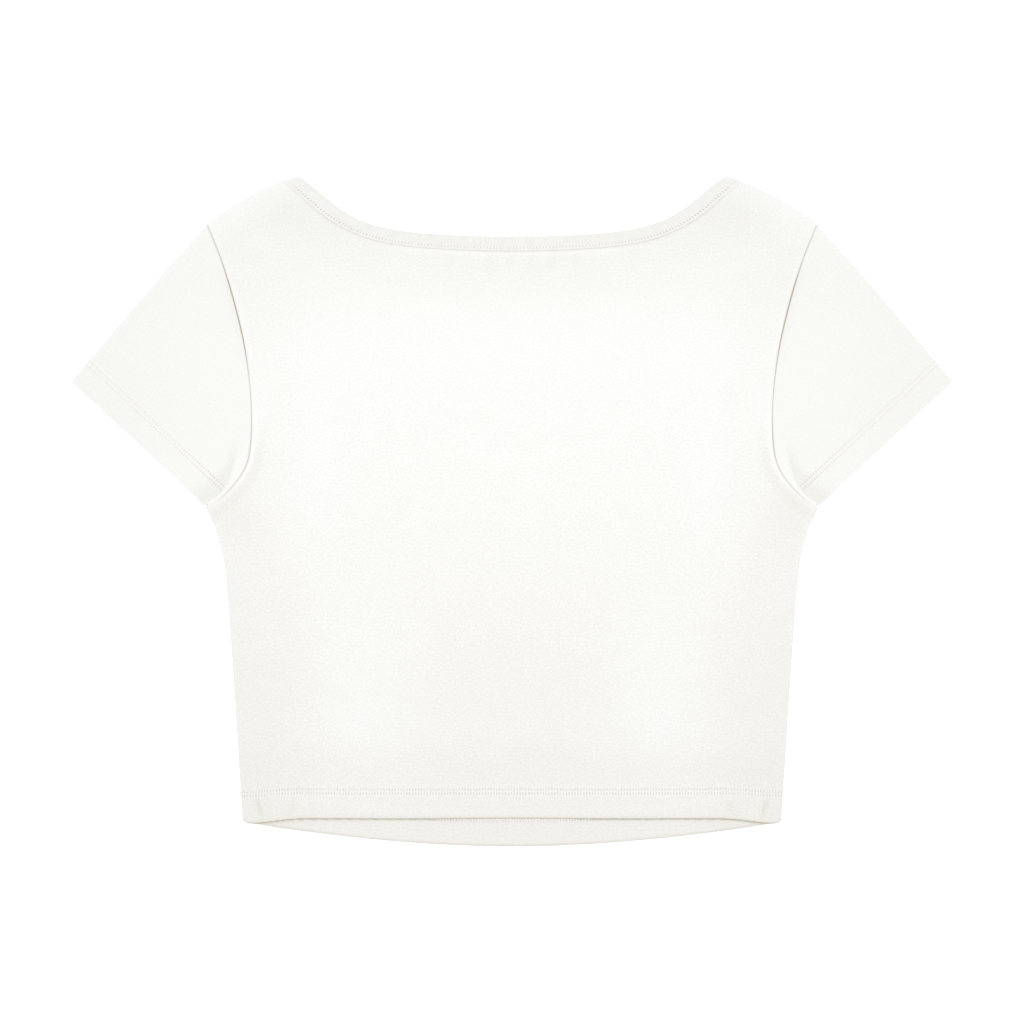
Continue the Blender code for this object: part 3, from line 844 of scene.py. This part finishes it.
def panel_sheet(hem, arm, seam, height, facts, upper):
    """Both halves of a body panel: folded side and shoulder, sewn armhole and neck, open hem."""
    band = BODY_HEM_DEPTH + 3.0
    side = at_lengths(side_seam, up_from_hem(lengths_along(side_seam)[-1], band,
                                             UNDERARM_STEP))
    arm_free = lengths_along(arm)[-1] - SIDE_CLEAR - SHOULDER_CLEAR
    arm_steps = graded(arm_free, UNDERARM_STEP, SEAM_STEP, SHOULDER_STEP)
    arm_points = at_lengths(arm, SIDE_CLEAR + arm_steps)
    sewn = seam + SEW_GAP * left_normals(seam)
    sewn[-1, 0] = 0.0
    neck_free = lengths_along(sewn)[-1] - TIP_CLEAR
    neck_steps = graded(neck_free, CORNER_STEP, OPEN_STEP, OPEN_STEP)
    neck_points = at_lengths(sewn, TIP_CLEAR + neck_steps)
    top_length = lengths_along(shoulder)[-1] - 2.0 * SEW_GAP
    near_side = graded(CREASED_WIDTH, EDGE_STEP, CREASE_STEP, CREASE_STEP)
    onward = graded(top_length - CREASED_WIDTH, CREASE_STEP, OPEN_STEP, CORNER_STEP)
    top = at_lengths(shoulder, np.concatenate((near_side, CREASED_WIDTH + onward[1:])))
    middle = 0.5 * SEW_GAP
    side_strip = fold_strip(side, side_radius(side, hem), hem, arm, upper, middle)
    shoulder_strip = fold_strip(top, side_radius(top, hem), arm[::-1],
                                np.vstack((top[-1:], sewn[18:])), upper, middle)
    left = np.vstack((side_strip[-1][:, :2], arm_points, shoulder_strip[-1][:1, :2]))
    above = np.vstack((shoulder_strip[-1][:, :2], neck_points))
    hem_inside = hem[lengths_along(hem) > 1.5 * HEM_FOLD_RADIUS]
    bottom = at_fractions(np.vstack((left[:1], hem_inside)), part_way(above))
    up_left = lengths_along(left)
    low = np.searchsorted(lengths_along(side), band - 0.01)
    up_centre = np.interp(up_left, (0.0, up_left[low], up_left[-1]),
                          (0.0, band, above[-1, 1] - bottom[-1, 1]))
    right = at_lengths(np.array((bottom[-1], above[-1])), up_centre)
    for edge in (bottom, above):
        edge[-1, 0] = 0.0
    right[:, 0] = 0.0
    sheet = Sheet()
    for half in (1.0, -1.0):
        sheet.patch((bottom, left, above, right), (side_strip, shoulder_strip), height, not upper,
                    half, facts)
    return sheet


THREAD = (0.87, 0.865, 0.84)
THREAD_SHADE = (0.77, 0.755, 0.72)
# The underarm tack's thread colours: dark brown, as painted shadow of its needle hole
TACK_THREAD = (0.50, 0.45, 0.35)
TACK_SHADE = (0.62, 0.58, 0.50)
STITCH_ALONG = np.array((-1.0, -0.62, 0.0, 0.62, 1.0))[:, None]
STITCH_GIRTH = np.array((0.28, 0.86, 1.0, 0.86, 0.28))[:, None, None]
STITCH_RISE = np.array((-1.2, 0.1, 0.4, 0.1, -1.2))[:, None]
ROUND_THREAD = np.radians(np.arange(0.0, 360.0, 60.0))[:, None]
HEM_STITCH = (0.66, 0.50, 0.17)
UNDER_STITCH = (0.68, 0.45, 0.10)
HEM_ROW_END = 170.5
STITCH_LEAN = 0.10
LEAN_SPREAD = 0.13
PROBE = 0.4
SIDE_PROBE = 0.3


def thread_material(name, light, dark):
    """Cotton sewing thread: a soft fuzzy yarn whose plies show as fine bands."""
    material, tree, shader = new_material(name)
    place = Value(tree.nodes.new("ShaderNodeTexCoord").outputs["Object"])
    plies = noise(place, (1500.0, 2600.0, 1500.0), 1.0)
    finish_shader(shader, mixed(plies, light, dark), plies * 0.2 + 0.6, plies, 0.05)
    return material


sewing_thread = thread_material("sewing_thread", THREAD, THREAD_SHADE)


def on_both_sides(height, spots):
    """Points on a cloth at plan spots of either side, from a height given for the +X side."""
    folded = np.column_stack((np.abs(spots[:, 0]), spots[:, 1]))
    levels = np.where(spots[:, 0] < 0.0, height(folded, -1.0), height(folded, 1.0))
    return np.column_stack((spots, levels))


def thread_frames(place_at, run, row, turn, lean=0.0):
    """Points on a cloth, the way the stitches run there, and the way across them.

    Run, across and out of the cloth make a right-handed set where turn is 1; lean tips each stitch.
    """
    ahead = unit(place_at(run + PROBE, row) - place_at(run - PROBE, row))
    aside = turn * (place_at(run, row + SIDE_PROBE) - place_at(run, row - SIDE_PROBE))
    aside = unit(aside - np.einsum("ij,ij->i", aside, ahead)[:, None] * ahead)
    tip, lie = (part(lean + 0.0 * run)[:, None] for part in (np.sin, np.cos))
    return place_at(run, row), lie * ahead + tip * aside, lie * aside - tip * ahead


def thread_object(name, rings, material=sewing_thread):
    """Threads as closed tubes; rings holds each thread's rings of points, thread by thread."""
    threads, count, sides = rings.shape[:3]
    ids = np.arange(count * sides).reshape(count, sides)
    onward = np.roll(ids, -1, axis=1)
    walls = np.stack((ids[:-1], onward[:-1], onward[1:], ids[1:]), axis=-1).reshape(-1, 4)
    starts = np.arange(threads)[:, None, None] * count * sides
    faces = (walls + starts).reshape(-1, 4).tolist()
    for end in (ids[0][::-1], ids[-1]):
        faces += (end + starts).reshape(-1, sides).tolist()
    piece = mesh_object(name, rings.reshape(-1, 3).clip((-np.inf, -np.inf, 0.0)), faces, [material])
    piece.data.shade_smooth()
    return piece


def round_thread(across, out, half_width, half_depth):
    """Points round a thread, from its middle."""
    return (half_width * np.cos(ROUND_THREAD) * across[..., None, :]
            + half_depth * np.sin(ROUND_THREAD) * out[..., None, :])


def stitch_rings(frames, size):
    """Rings of short swelling stitches whose ends go down into the cloth."""
    centres, run, across = (part[:, None] for part in frames)
    half_length, half_width, half_depth = size
    out = np.cross(run, across)
    spine = centres + half_length * STITCH_ALONG * run + half_depth * STITCH_RISE * out
    return spine[:, :, None] + STITCH_GIRTH * round_thread(across, out, half_width, half_depth)


def stitch_places(pitch, start, end):
    """Middles of the stitches between the needle dents along a map's stitch rows."""
    first = math.ceil((start + MAP_START) / pitch - 0.5)
    last = math.floor((end + MAP_START) / pitch - 0.5)
    return (np.arange(first, last + 1) + 0.5) * pitch - MAP_START


def row_rings(place_at, run, rows, turn, size, seed, mean=STITCH_LEAN):
    """Rings of stitch rows whose stitches lean a little, each by its own random amount."""
    rings = []
    for k, row in enumerate(rows):
        lean = np.random.default_rng(seed + k).normal(mean, LEAN_SPREAD, len(run))
        rings.append(stitch_rings(thread_frames(place_at, run, row + 0.0 * run, turn, lean), size))
    return np.concatenate(rings)


def above_rows(height, hem):
    """A function for points on a body panel at places along and across its hem's stitch rows."""
    def place_at(run, row):
        return on_both_sides(height, np.column_stack((run, row + row_level(np.abs(run), hem))))
    return place_at


def hem_stitches(name, hem, height, turn, size, seed):
    """Both rows of a body hem's coverstitch, from side fold to side fold."""
    run = stitch_places(HEM_ROWS[2], -HEM_ROW_END, HEM_ROW_END)
    return thread_object(name, row_rings(above_rows(height, hem), run, HEM_ROWS[:2], turn, size,
                                         seed))


back_stitches = hem_stitches("back_hem_stitches", back_hem, back_height, 1.0, HEM_STITCH, 41)
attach(back_stitches, "root")

back_face = jersey_material("back_jersey", "Face Loops", HEM_ROWS, HEM_DENT)
back_inside = jersey_material("back_jersey_inside", "Inside Loops", HEM_ROWS, LOOPER_DENT)
back_panel = cloth_object("back_panel_cloth",
                          panel_sheet(back_hem, armhole, back_seam, back_height, back_facts, True),
                          HEM_WALL, (back_face, back_inside))
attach(back_panel, "root")
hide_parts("back_panel")


# ---------------------------------------------------------------- front panel
# The front, cut from the same jersey, lies face down under the back. Its neckline and armholes are
# cut deeper, and its hem curves lower, so that the inside of that hem shows below the back's.

UNDER_ROLL = 0.3
UNDER_ARM_ROLL = 0.5
UNDER_DITCH = 0.3

scoop = np.sin(np.pi * np.linspace(0.0, 1.0, len(armhole))) ** 1.5
front_armhole = armhole - np.outer(scoop, (FRONT_ARMHOLE_SCOOP, 0.0))
front_crease = smooth_curve(HEM_CREASE * (0.8, 1.0), 120)


def front_height(points, side):
    """Outer face of the front, which rests on the floor but for its puckers and rolled edges."""
    fold = from_folds(points)
    hollows = 0.28 * np.clip(ripples(points * (side, 1.0), 55.0, 31), 0.0, 1.5)
    hollows += 0.5 * crease(points, front_crease, 1.2, 3.0)
    hollows += UNDER_DITCH * stitch_ditch(hem_place(points, side, front_hem), HEM_ROWS, ROW_DITCH)
    drop = rolled(away(points, front_armhole), UNDER_ARM_ROLL) * ramp(fold, *ROLL_FREE)
    drop += rolled(above_hem(points, front_hem), UNDER_ROLL) * fade(points[:, 0], *HEM_END)
    return ramp(fold, *BODY_FREE) * hollows + drop


def front_facts(points, side):
    up = above_hem(points, front_hem)
    thick = thinned(wall(up, BODY_HEM_DEPTH), 0.0, 1.3, away(points, front_armhole), up,
                    away(points, front_seam))
    # Painted shade over the front, darker near its hem edge, with painted light at the edge itself
    # and at the folds
    shade = painted_body_shade(points) + 0.10 + 0.12 * fade(up, 0.4, 3.2)
    shade -= 0.22 * swell(up, 0.0, 0.5) + fold_light(points)
    # Painted shadow that the back's hem edge casts on the front's inside
    groove_shadow = 0.42 + 0.20 * ramp(points[:, 0], 12.0, 45.0)
    groove_shadow = groove_shadow * swell(above_hem(points, back_hem), -0.15, 0.5)
    return body_facts(points, side, front_hem, thick, shade, groove_shadow, 0.84)


front_face = jersey_material("front_jersey", "Face Loops", HEM_ROWS, HEM_DENT, seam_shade=0.0)
front_inside = jersey_material("front_jersey_inside", "Inside Loops", HEM_ROWS, LOOPER_DENT)
front_panel = cloth_object("front_panel_cloth",
                           panel_sheet(front_hem, front_armhole, front_seam, front_height,
                                       front_facts, False), HEM_WALL, (front_face, front_inside))
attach(front_panel, "root")
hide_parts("front_panel")

LOOPER_PER_PITCH = 4
LOOPER_SIZE = (0.34, 0.18)
LOOPER_WANDER = 0.14
LOOPER_LIGHT = (0.93, 0.92, 0.88)
LOOPER_SHADE = (0.80, 0.78, 0.73)


def inside_of_front(points, side):
    return front_height(points, side) + wall(above_hem(points, front_hem), BODY_HEM_DEPTH)


def looper_rings(rows, size, seed):
    """Rings of the looper's thread, which zigzags between the needle rows inside the hem."""
    first, second, pitch = rows
    run = np.arange(-HEM_ROW_END, HEM_ROW_END, pitch / LOOPER_PER_PITCH)
    swing = np.cos(2.0 * math.pi * (run + MAP_START) / pitch)
    row = 0.5 * (first + second) + 0.5 * (second - first) * swing
    row += np.random.default_rng(seed).normal(0.0, LOOPER_WANDER, len(run))
    centres = above_rows(inside_of_front, front_hem)(run, row)
    along = unit(np.gradient(centres, axis=0))
    across = np.cross((0.0, 0.0, 1.0), along)
    return (centres[:, None] + round_thread(across, np.cross(along, across), *size))[None]


front_stitches = hem_stitches("front_hem_stitches", front_hem, front_height, -1.0, UNDER_STITCH, 51)
looper_thread = thread_material("looper_thread", LOOPER_LIGHT, LOOPER_SHADE)
front_looper = thread_object("front_hem_looper", looper_rings(HEM_ROWS, LOOPER_SIZE, 55),
                             looper_thread)
for piece in (front_stitches, front_looper):
    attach(piece, "root")


# ---------------------------------------------------------------- sleeves
# Two short set-in sleeves, each one piece folded along its top and closed by a short underarm
# seam. The seam allowance lies under the sleeve as a flat strip, and the cuff is turned up and
# coverstitched.

SLEEVE_ROWS = (14.4, 17.3, 1.87)
SLEEVE_DENT = (0.42, 0.42, 0.16, 0.62)
SLEEVE_DITCH = 0.6
SLEEVE_GRAIN = 0.64
ALLOWANCE_WIDTH = 7.4
ALLOWANCE_LIFT = 0.32
UNDERARM_CLEAR = 5.0
TOP_CLEAR = 4.0
UNDERARM_TACK = np.array((194.1, 4.6))

cuff_lower = np.array((197.5, 5.4))
cuff_upper = sleeve_top[-1]
cuff_along = (cuff_lower - cuff_upper) / np.linalg.norm(cuff_lower - cuff_upper)
cuff_inward = np.array((cuff_along[1], -cuff_along[0]))


def cuff_place(points):
    """Place along a cuff's stitch rows: along the cuff, and in from its edge."""
    return (points - cuff_upper) @ np.array((cuff_along, cuff_inward)).T + (MAP_START, 0.0)


def sleeve_radius(points):
    return fold_radius(cuff_place(points)[:, 1], SLEEVE_HEM_DEPTH)


def sleeve_cover(points):
    """Outer face of a smooth sleeve's upper layer, as the solid has it."""
    cloth = wall(cuff_place(points)[:, 1], SLEEVE_HEM_DEPTH)
    return lifted(points, 2.0 * cloth + LAYER_GAP, 2.0 * sleeve_radius(points))


def allowance(arm, along):
    """The seam allowance's strip beneath a sleeve, at distances from the seam and along it.

    Gives its share from 0 to 1, how far its outer edge is passed, and how much of it shows.
    """
    width = ALLOWANCE_WIDTH * (0.34 + 0.66 * ramp(along, 0.05, 0.22))
    shown = fade(along, 0.15, 0.31)
    return fade(arm, width - 0.6, width + 0.4) * shown, arm - width, shown


def sleeve_height(points, side):
    """Outer face of a sleeve's upper layer, which meets the back's at the armhole seam."""
    full, fold, place = points * (side, 1.0), from_folds(points), cuff_place(points)
    arm, along = seam_place(points, armhole)
    strip, beyond, shown = allowance(arm, along)
    waves = 0.14 * ripples(full, 45.0, 12) + 0.05 * ripples(full, 16.0, 13)
    strip_rise = ALLOWANCE_LIFT * strip - 0.18 * shown * swell(beyond, 3.4, 3.2)
    ditch = 0.12 * stitch_ditch(place, SLEEVE_ROWS, SLEEVE_DITCH)
    drop = rolled(arm, 0.8 * arm_roll(along)) * ramp(fold, *ROLL_FREE)
    drop += rolled(place[:, 1], HEM_ROLL) * ramp(fold, 2.0, 5.0)
    cover = blend(sleeve_cover(points), back_cover(points), swell(arm, 0.0, 7.0))
    relief = waves + strip_rise * ramp(arm, 0.2, 2.4) - ditch
    return cover + ramp(fold, *SLEEVE_FREE) * relief - drop


def under_sleeve_height(points, side):
    """Outer face of a sleeve's under layer, which rests on the floor."""
    fold, place = from_folds(points), cuff_place(points)
    hollows = 0.22 * np.clip(ripples(points * (side, 1.0), 40.0, 17), 0.0, 1.5)
    hollows += UNDER_DITCH * stitch_ditch(place, SLEEVE_ROWS, SLEEVE_DITCH)
    drop = rolled(away(points, front_armhole), UNDER_ARM_ROLL) + rolled(place[:, 1], UNDER_ROLL)
    return ramp(fold, *SLEEVE_FREE) * hollows + ramp(fold, *ROLL_FREE) * drop


def sleeve_facts(points, side, arm_curve):
    place = cuff_place(points)
    arm, along = seam_place(points, arm_curve)
    strip, beyond, shown = allowance(arm, along)
    # Painted shade: a soft dark band beside the seam allowance strip, darker away from the seam and
    # beside it half way up; painted light on the strip, at the folds and along the cuff edge
    reach = 8.0 + 9.0 * fade(along, 0.07, 0.18)
    strip_shade = shown * ramp(beyond, -0.2, 1.6) * fade(beyond, 2.5, reach)
    shade = 0.10 + 0.36 * strip_shade - 0.12 * strip + 0.12 * ramp(arm, 20.0, 90.0)
    shade += 0.08 * ramp(points[:, 1], 105.0, 150.0)
    shade += 0.16 * swell(arm, 2.2, 1.9) * half_way_up(along)
    shade -= fold_light(points) + 0.26 * swell(place[:, 1], 0.0, 0.8)
    # Painted shadow in the armhole seam and along the allowance strip's edge
    groove_shadow = seam_groove_shadow(arm, along) + 0.16 * swell(beyond, 0.3, 0.5) * fade(along, 0.08, 0.14)
    dent = (0.52 + 0.48 * ramp(place[:, 0] - MAP_START, 70.0, 105.0)) * (1.0 - strip)
    tone = 0.5 * (0.3 + 0.7 * smooth_edge(points, 0.5 * arm)) + 0.12 * strip_shade
    thick = thinned(wall(place[:, 1], SLEEVE_HEM_DEPTH), 0.0, 1.3, arm, place[:, 1])
    knit = (place - (MAP_START, 0.0)) * (side, 1.0) + MAP_START
    return np.column_stack((thick, shade, groove_shadow, dent, knit, place, tone))


def sleeve_layer(sheet, arm, height, upper, side):
    """One layer of a sleeve between its top fold, armhole, short underarm seam and cuff."""
    def facts(points, half):
        return sleeve_facts(points, half, arm)

    sewn = arm - SEW_GAP * left_normals(arm)
    top_line = np.vstack((sleeve_top[lengths_along(sleeve_top) > 3.0][::-1], sewn[-1:]))
    top = at_lengths(top_line, up_from_hem(lengths_along(top_line)[-1], SLEEVE_HEM_DEPTH + 2.0,
                                           EDGE_STEP))
    arm_free = lengths_along(sewn)[-1] - UNDERARM_CLEAR - TOP_CLEAR
    arm_steps = graded(arm_free, CORNER_STEP, SEAM_STEP, CORNER_STEP)
    arm_points = at_lengths(sewn, UNDERARM_CLEAR + arm_steps)
    under = at_fractions(np.array((sewn[0], cuff_lower)), part_way(top[::-1]))
    cuff = at_fractions(np.array((cuff_upper, cuff_lower)), np.linspace(0.0, 1.0, 100))
    top_strip = fold_strip(top, sleeve_radius(top), cuff, sewn[::-1], upper, 0.0)
    under_strip = fold_strip(under, sleeve_radius(under), sewn, cuff[::-1], upper, 0.0)
    left, right = top_strip[-1][:, :2], under_strip[-1][::-1, :2]
    above = np.vstack((left[-1:], arm_points[::-1], right[-1:]))
    bottom = at_fractions(np.array((left[0], right[0])), part_way(above))
    sheet.patch((bottom, left, above, right), (top_strip, under_strip), height, not upper, side,
                facts)


SLEEVE_STITCH = (0.60, 0.34, 0.11)
TACK = (0.42, 0.42, 0.14)
CUFF_ROW_START = 4.0
CUFF_ROW_END = 105.0

shadowed_tack_thread = thread_material("shaded_thread", TACK_THREAD, TACK_SHADE)


def underarm_tack(name, side):
    """The knotted thread end that holds the seam allowance down at the underarm, coloured dark
    brown as painted shadow of the needle hole it sits in.
    """
    def place_at(run, row):
        return on_both_sides(sleeve_height, np.column_stack((run, row)) * (side, 1.0))

    frames = thread_frames(place_at, UNDERARM_TACK[:1], UNDERARM_TACK[1:], side)
    return thread_object(name, stitch_rings(frames, TACK), shadowed_tack_thread)


def cuff_stitches(name, side, seed):
    """Both coverstitch rows round a cuff, on its upper and its under layer."""
    rings = []
    run = stitch_places(SLEEVE_ROWS[2], CUFF_ROW_START, CUFF_ROW_END)
    for height, turn, size in ((sleeve_height, -side, SLEEVE_STITCH),
                               (under_sleeve_height, side, UNDER_STITCH)):
        def place_at(run, row):
            points = cuff_upper + run[:, None] * cuff_along + row[:, None] * cuff_inward
            return on_both_sides(height, points * (side, 1.0))

        rings.append(row_rings(place_at, run, SLEEVE_ROWS[:2], turn, size, seed))
    return thread_object(name, np.concatenate(rings))


for name, side in (("right", 1.0), ("left", -1.0)):
    tube = Sheet()
    sleeve_layer(tube, armhole, sleeve_height, True, side)
    sleeve_layer(tube, front_armhole, under_sleeve_height, False, side)
    looks = [jersey_material("sleeve_jersey%s_%s" % (kind, name), loops, SLEEVE_ROWS, SLEEVE_DENT,
                             SLEEVE_GRAIN)
             for kind, loops in (("", "Face Loops"), ("_inside", "Inside Loops"))]
    sleeve = cloth_object("sleeve_%s_cloth" % name, tube, HEM_WALL, looks)
    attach(sleeve, "root")
    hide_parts("sleeve_" + name)
    threads = [cuff_stitches("sleeve_%s_stitches" % name, side, 61),
               underarm_tack("sleeve_%s_tack" % name, side)]
    for piece in threads:
        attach(piece, "root")


# ---------------------------------------------------------------- neck binding
# A narrow band of the same jersey, cut across the knit, folded over the whole neck edge and held by
# one row of topstitch close to its seam.

BINDING_IN = np.array((0.0, 0.28, 0.6, 1.0, 1.6, 2.6, 3.8, 5.0, 5.9, 6.5, 7.2, 7.8, 8.3, 8.8, 9.15,
                       9.4))
BINDING_STEP = 2.2
BINDING_ROLL = 0.9
BINDING_MAP_START = 1000.0
KNIT_STRETCH = 1.6
TOPSTITCH_IN = 7.2
TOPSTITCH_COLUMN = 10
TOPSTITCH_PITCH = 2.1
TOPSTITCH_DENT = (0.40, 0.52, 0.25, 0.60)
TOP_STITCH = (0.60, 0.30, 0.10)
TOPSTITCH_LEAN = 0.2
OFF_SHOULDER = 7.0


def binding_cover(points):
    """Outer face of the smooth binding where it runs along the back, as the solid has it."""
    height = under_back(points) + LAYER_GAP + BINDING_WALL
    return lifted(points, height, 2.0 * BINDING_FOLD_RADIUS)


def binding_rows(neck_edge, seam, upper):
    """Rows across the binding from the middle of the shoulder fold to the centre line."""
    insets = BINDING_FOLD_RADIUS * (1.0 - np.cos(FOLD_ANGLES))
    seam_total = lengths_along(seam)[-1]
    onward = SHOULDER_CLEAR + graded(seam_total - SHOULDER_CLEAR, 1.0, BINDING_STEP, BINDING_STEP)
    along_seam = np.concatenate((insets, onward))
    sewn_edge = at_lengths(seam, along_seam)
    open_edge = at_lengths(neck_edge, along_seam * lengths_along(neck_edge)[-1] / seam_total)
    across = (BINDING_IN / BINDING_WIDTH)[:, None]
    bulge = at_fractions(neck_tip[::-1], across[:, 0]) - blend(open_edge[0], sewn_edge[0], across)
    edge = rolled(BINDING_IN, BINDING_ROLL) + rolled(BINDING_WIDTH - BINDING_IN, NECK_ROLL)
    pressed = swell(BINDING_IN, TOPSTITCH_IN, 0.5)
    ridges = (0.22 * swell(BINDING_IN, 8.35, 0.6) + 0.12 * swell(BINDING_IN, 5.9, 0.9)
              - 0.15 * pressed)
    rows = []
    for index, (opening, sewn) in enumerate(zip(open_edge, sewn_edge)):
        fading = np.exp(-np.linalg.norm(opening - open_edge[0]) / 8.0)
        places = blend(opening, sewn, across) + fading * bulge
        off_fold = ramp(along_seam[index], 2.0, 9.0)
        if index < len(FOLD_ANGLES):
            turn = np.sin(FOLD_ANGLES[index])
            levels = BINDING_FOLD_RADIUS * (1.0 + (turn if upper else -turn)) + 0.0 * edge
        elif upper:
            levels = binding_cover(places) + off_fold * (ridges - edge)
        else:
            levels = off_fold * (0.7 * edge + 0.25 * pressed)
        rows.append(np.column_stack((places, levels)))
    rows = np.array(rows)
    rows[-1, :, 0] = 0.0
    return rows


binding_back = binding_rows(back_neck, back_seam, True)
binding_half = np.vstack((binding_back[::-1], binding_rows(front_neck, front_seam, False)[1:]))
round_neck = lengths_along(binding_half[:, TOPSTITCH_COLUMN])
at_shoulder = round_neck[len(binding_back) - 1]
half_ring = round_neck[-1]


def binding_facts(points, side):
    """The binding's facts follow its rows, because its back and front cross at the shoulder."""
    run = np.repeat(round_neck, len(BINDING_IN))
    edge_in = np.tile(BINDING_IN, len(binding_half))
    off = np.abs(run - at_shoulder)
    thick = 0.58 + 0.42 * ramp(off, 3.0, 8.0)
    thick = thick * (0.4 + 0.6 * ramp(np.minimum(edge_in, BINDING_WIDTH - edge_in), 0.0, 1.2))
    # Painted shade over the binding, with painted light at its ridge, its open edge and towards the
    # shoulder fold
    shade = 0.37 - 0.12 * swell(edge_in, 8.4, 0.7) - 0.12 * swell(edge_in, 0.0, 0.6)
    shade -= 0.26 * fade(off, 0.0, 9.0) + 0.24 * fade(off, 0.0, 4.0)
    # Painted shadow along the binding's seam and at the topstitch row near the shoulder
    groove_shadow = 0.30 * swell(edge_in, BINDING_WIDTH, 0.4) * ramp(off, 10.0, 45.0)
    groove_shadow += 0.14 * swell(edge_in, TOPSTITCH_IN, 0.3) * ramp(off, 0.5, 2.0) * fade(off, 5.0, 8.0)
    dent = ramp(off, 6.0, 10.0) * (1.0 - 0.40 * ramp(off, 60.0, 110.0))
    return np.column_stack((thick, shade, groove_shadow, dent, edge_in + MAP_START,
                            KNIT_STRETCH * side * run + BINDING_MAP_START,
                            run + 0.5 * TOPSTITCH_PITCH, edge_in, 0.0 * run + 0.5))


band = Sheet()
for half in (1.0, -1.0):
    band.grid(binding_half, True, half, binding_facts)
binding_looks = [
    jersey_material("binding_jersey" + kind, loops, (TOPSTITCH_IN, TOPSTITCH_IN, TOPSTITCH_PITCH),
                    TOPSTITCH_DENT, yarn_length=5.0)
    for kind, loops in (("", "Face Loops"), ("_inside", "Inside Loops"))]
neck_binding = cloth_object("neck_binding_cloth", band, BINDING_WALL, binding_looks)
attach(neck_binding, "root")
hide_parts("neck_binding")


def topstitch_rings(half, run, size, seed):
    """Rings of the stitches on one half of the binding, at lengths from the back's centre."""
    columns = (TOPSTITCH_COLUMN - 1, TOPSTITCH_COLUMN, TOPSTITCH_COLUMN + 1)
    lines = [binding_half[:, column] * (half, 1.0, 1.0) for column in columns]
    gap = BINDING_IN[columns[2]] - BINDING_IN[columns[0]]

    def place_at(run, row):
        before, on, after = (np.column_stack([np.interp(run, round_neck, axis) for axis in line.T])
                             for line in lines)
        return on + ((row - TOPSTITCH_IN) / gap)[:, None] * (after - before)

    return row_rings(place_at, run, (TOPSTITCH_IN,), -half, size, seed, TOPSTITCH_LEAN * half)


stitch_run = np.arange(1, int(half_ring / TOPSTITCH_PITCH)) * TOPSTITCH_PITCH
on_back = stitch_run[stitch_run < at_shoulder - OFF_SHOULDER]
on_front = stitch_run[stitch_run > at_shoulder + OFF_SHOULDER]
topstitches = thread_object("neck_topstitches", np.concatenate([
    topstitch_rings(half, run, size, seed)
    for half, run, size, seed in ((1.0, np.zeros(1), TOP_STITCH, 70),
                                  (1.0, on_back, TOP_STITCH, 71), (-1.0, on_back, TOP_STITCH, 71),
                                  (1.0, on_front, UNDER_STITCH, 73),
                                  (-1.0, on_front, UNDER_STITCH, 73))]))
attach(topstitches, "root")


# ---------------------------------------------------------------- floor, light and camera
# A plain pale sweep under an even studio light. Its lower side lets the view through, so that the
# cloth that rests on it can be looked at from beneath.

FLOOR_GAP = 0.05
FLOOR_REACH = 4000.0
PAPER = (("Base Color", (0.93, 0.93, 0.93)), ("Roughness", 0.9), ("Specular IOR Level", 0.1),
         ("Emission Color", (1.0, 1.0, 1.0)), ("Emission Strength", 0.25))
SKY_STRENGTH = 0.85
LAMP_ENERGY = 5.6
PIXEL = 0.638
CAMERA_HEIGHT = 2600.0
CLOTH_MIDDLE = 2.5
IMAGE_WIDTH = 1024
SENSOR = 36.0

paper, paper_tree, paper_shader = new_material("white_sweep")
for label, value in PAPER:
    feed(paper_shader.inputs[label], value)
by_side = paper_tree.nodes.new("ShaderNodeMixShader")
for index, socket in enumerate((
        paper_tree.nodes.new("ShaderNodeNewGeometry").outputs["Backfacing"],
        paper_shader.outputs[0], paper_tree.nodes.new("ShaderNodeBsdfTransparent").outputs[0])):
    paper_tree.links.new(socket, by_side.inputs[index])
paper_tree.links.new(by_side.outputs[0], paper_tree.nodes["Material Output"].inputs["Surface"])
corners = np.array(((-1, -1), (1, -1), (1, 1), (-1, 1))) * FLOOR_REACH
floor = mesh_object("floor", np.column_stack((corners, np.full(4, -FLOOR_GAP))), [(0, 1, 2, 3)],
                    [paper])

scene = bpy.context.scene
scene.world = bpy.data.worlds.new("studio")
scene.world.use_nodes = True
sky = scene.world.node_tree.nodes["Background"]
feed(sky.inputs["Color"], (1.0, 1.0, 1.0))
feed(sky.inputs["Strength"], SKY_STRENGTH)

lamp = bpy.data.lights.new("softbox", "AREA")
lamp.shape = "RECTANGLE"
lamp.size, lamp.size_y = 1.3, 0.35
lamp.energy = LAMP_ENERGY
softbox = bpy.data.objects.new("softbox", lamp)
softbox.location = (0.0, 0.10, 1.0)
softbox.visible_camera = False
scene.collection.objects.link(softbox)

view = bpy.data.cameras.new("camera")
view.sensor_width = SENSOR
view.lens = SENSOR * (CAMERA_HEIGHT - CLOTH_MIDDLE) / (IMAGE_WIDTH * PIXEL)
camera = bpy.data.objects.new("camera", view)
camera.location = (0.0, -0.25 * PIXEL * MM, CAMERA_HEIGHT * MM)
scene.collection.objects.link(camera)
scene.camera = camera
scene.view_settings.view_transform = "Standard"
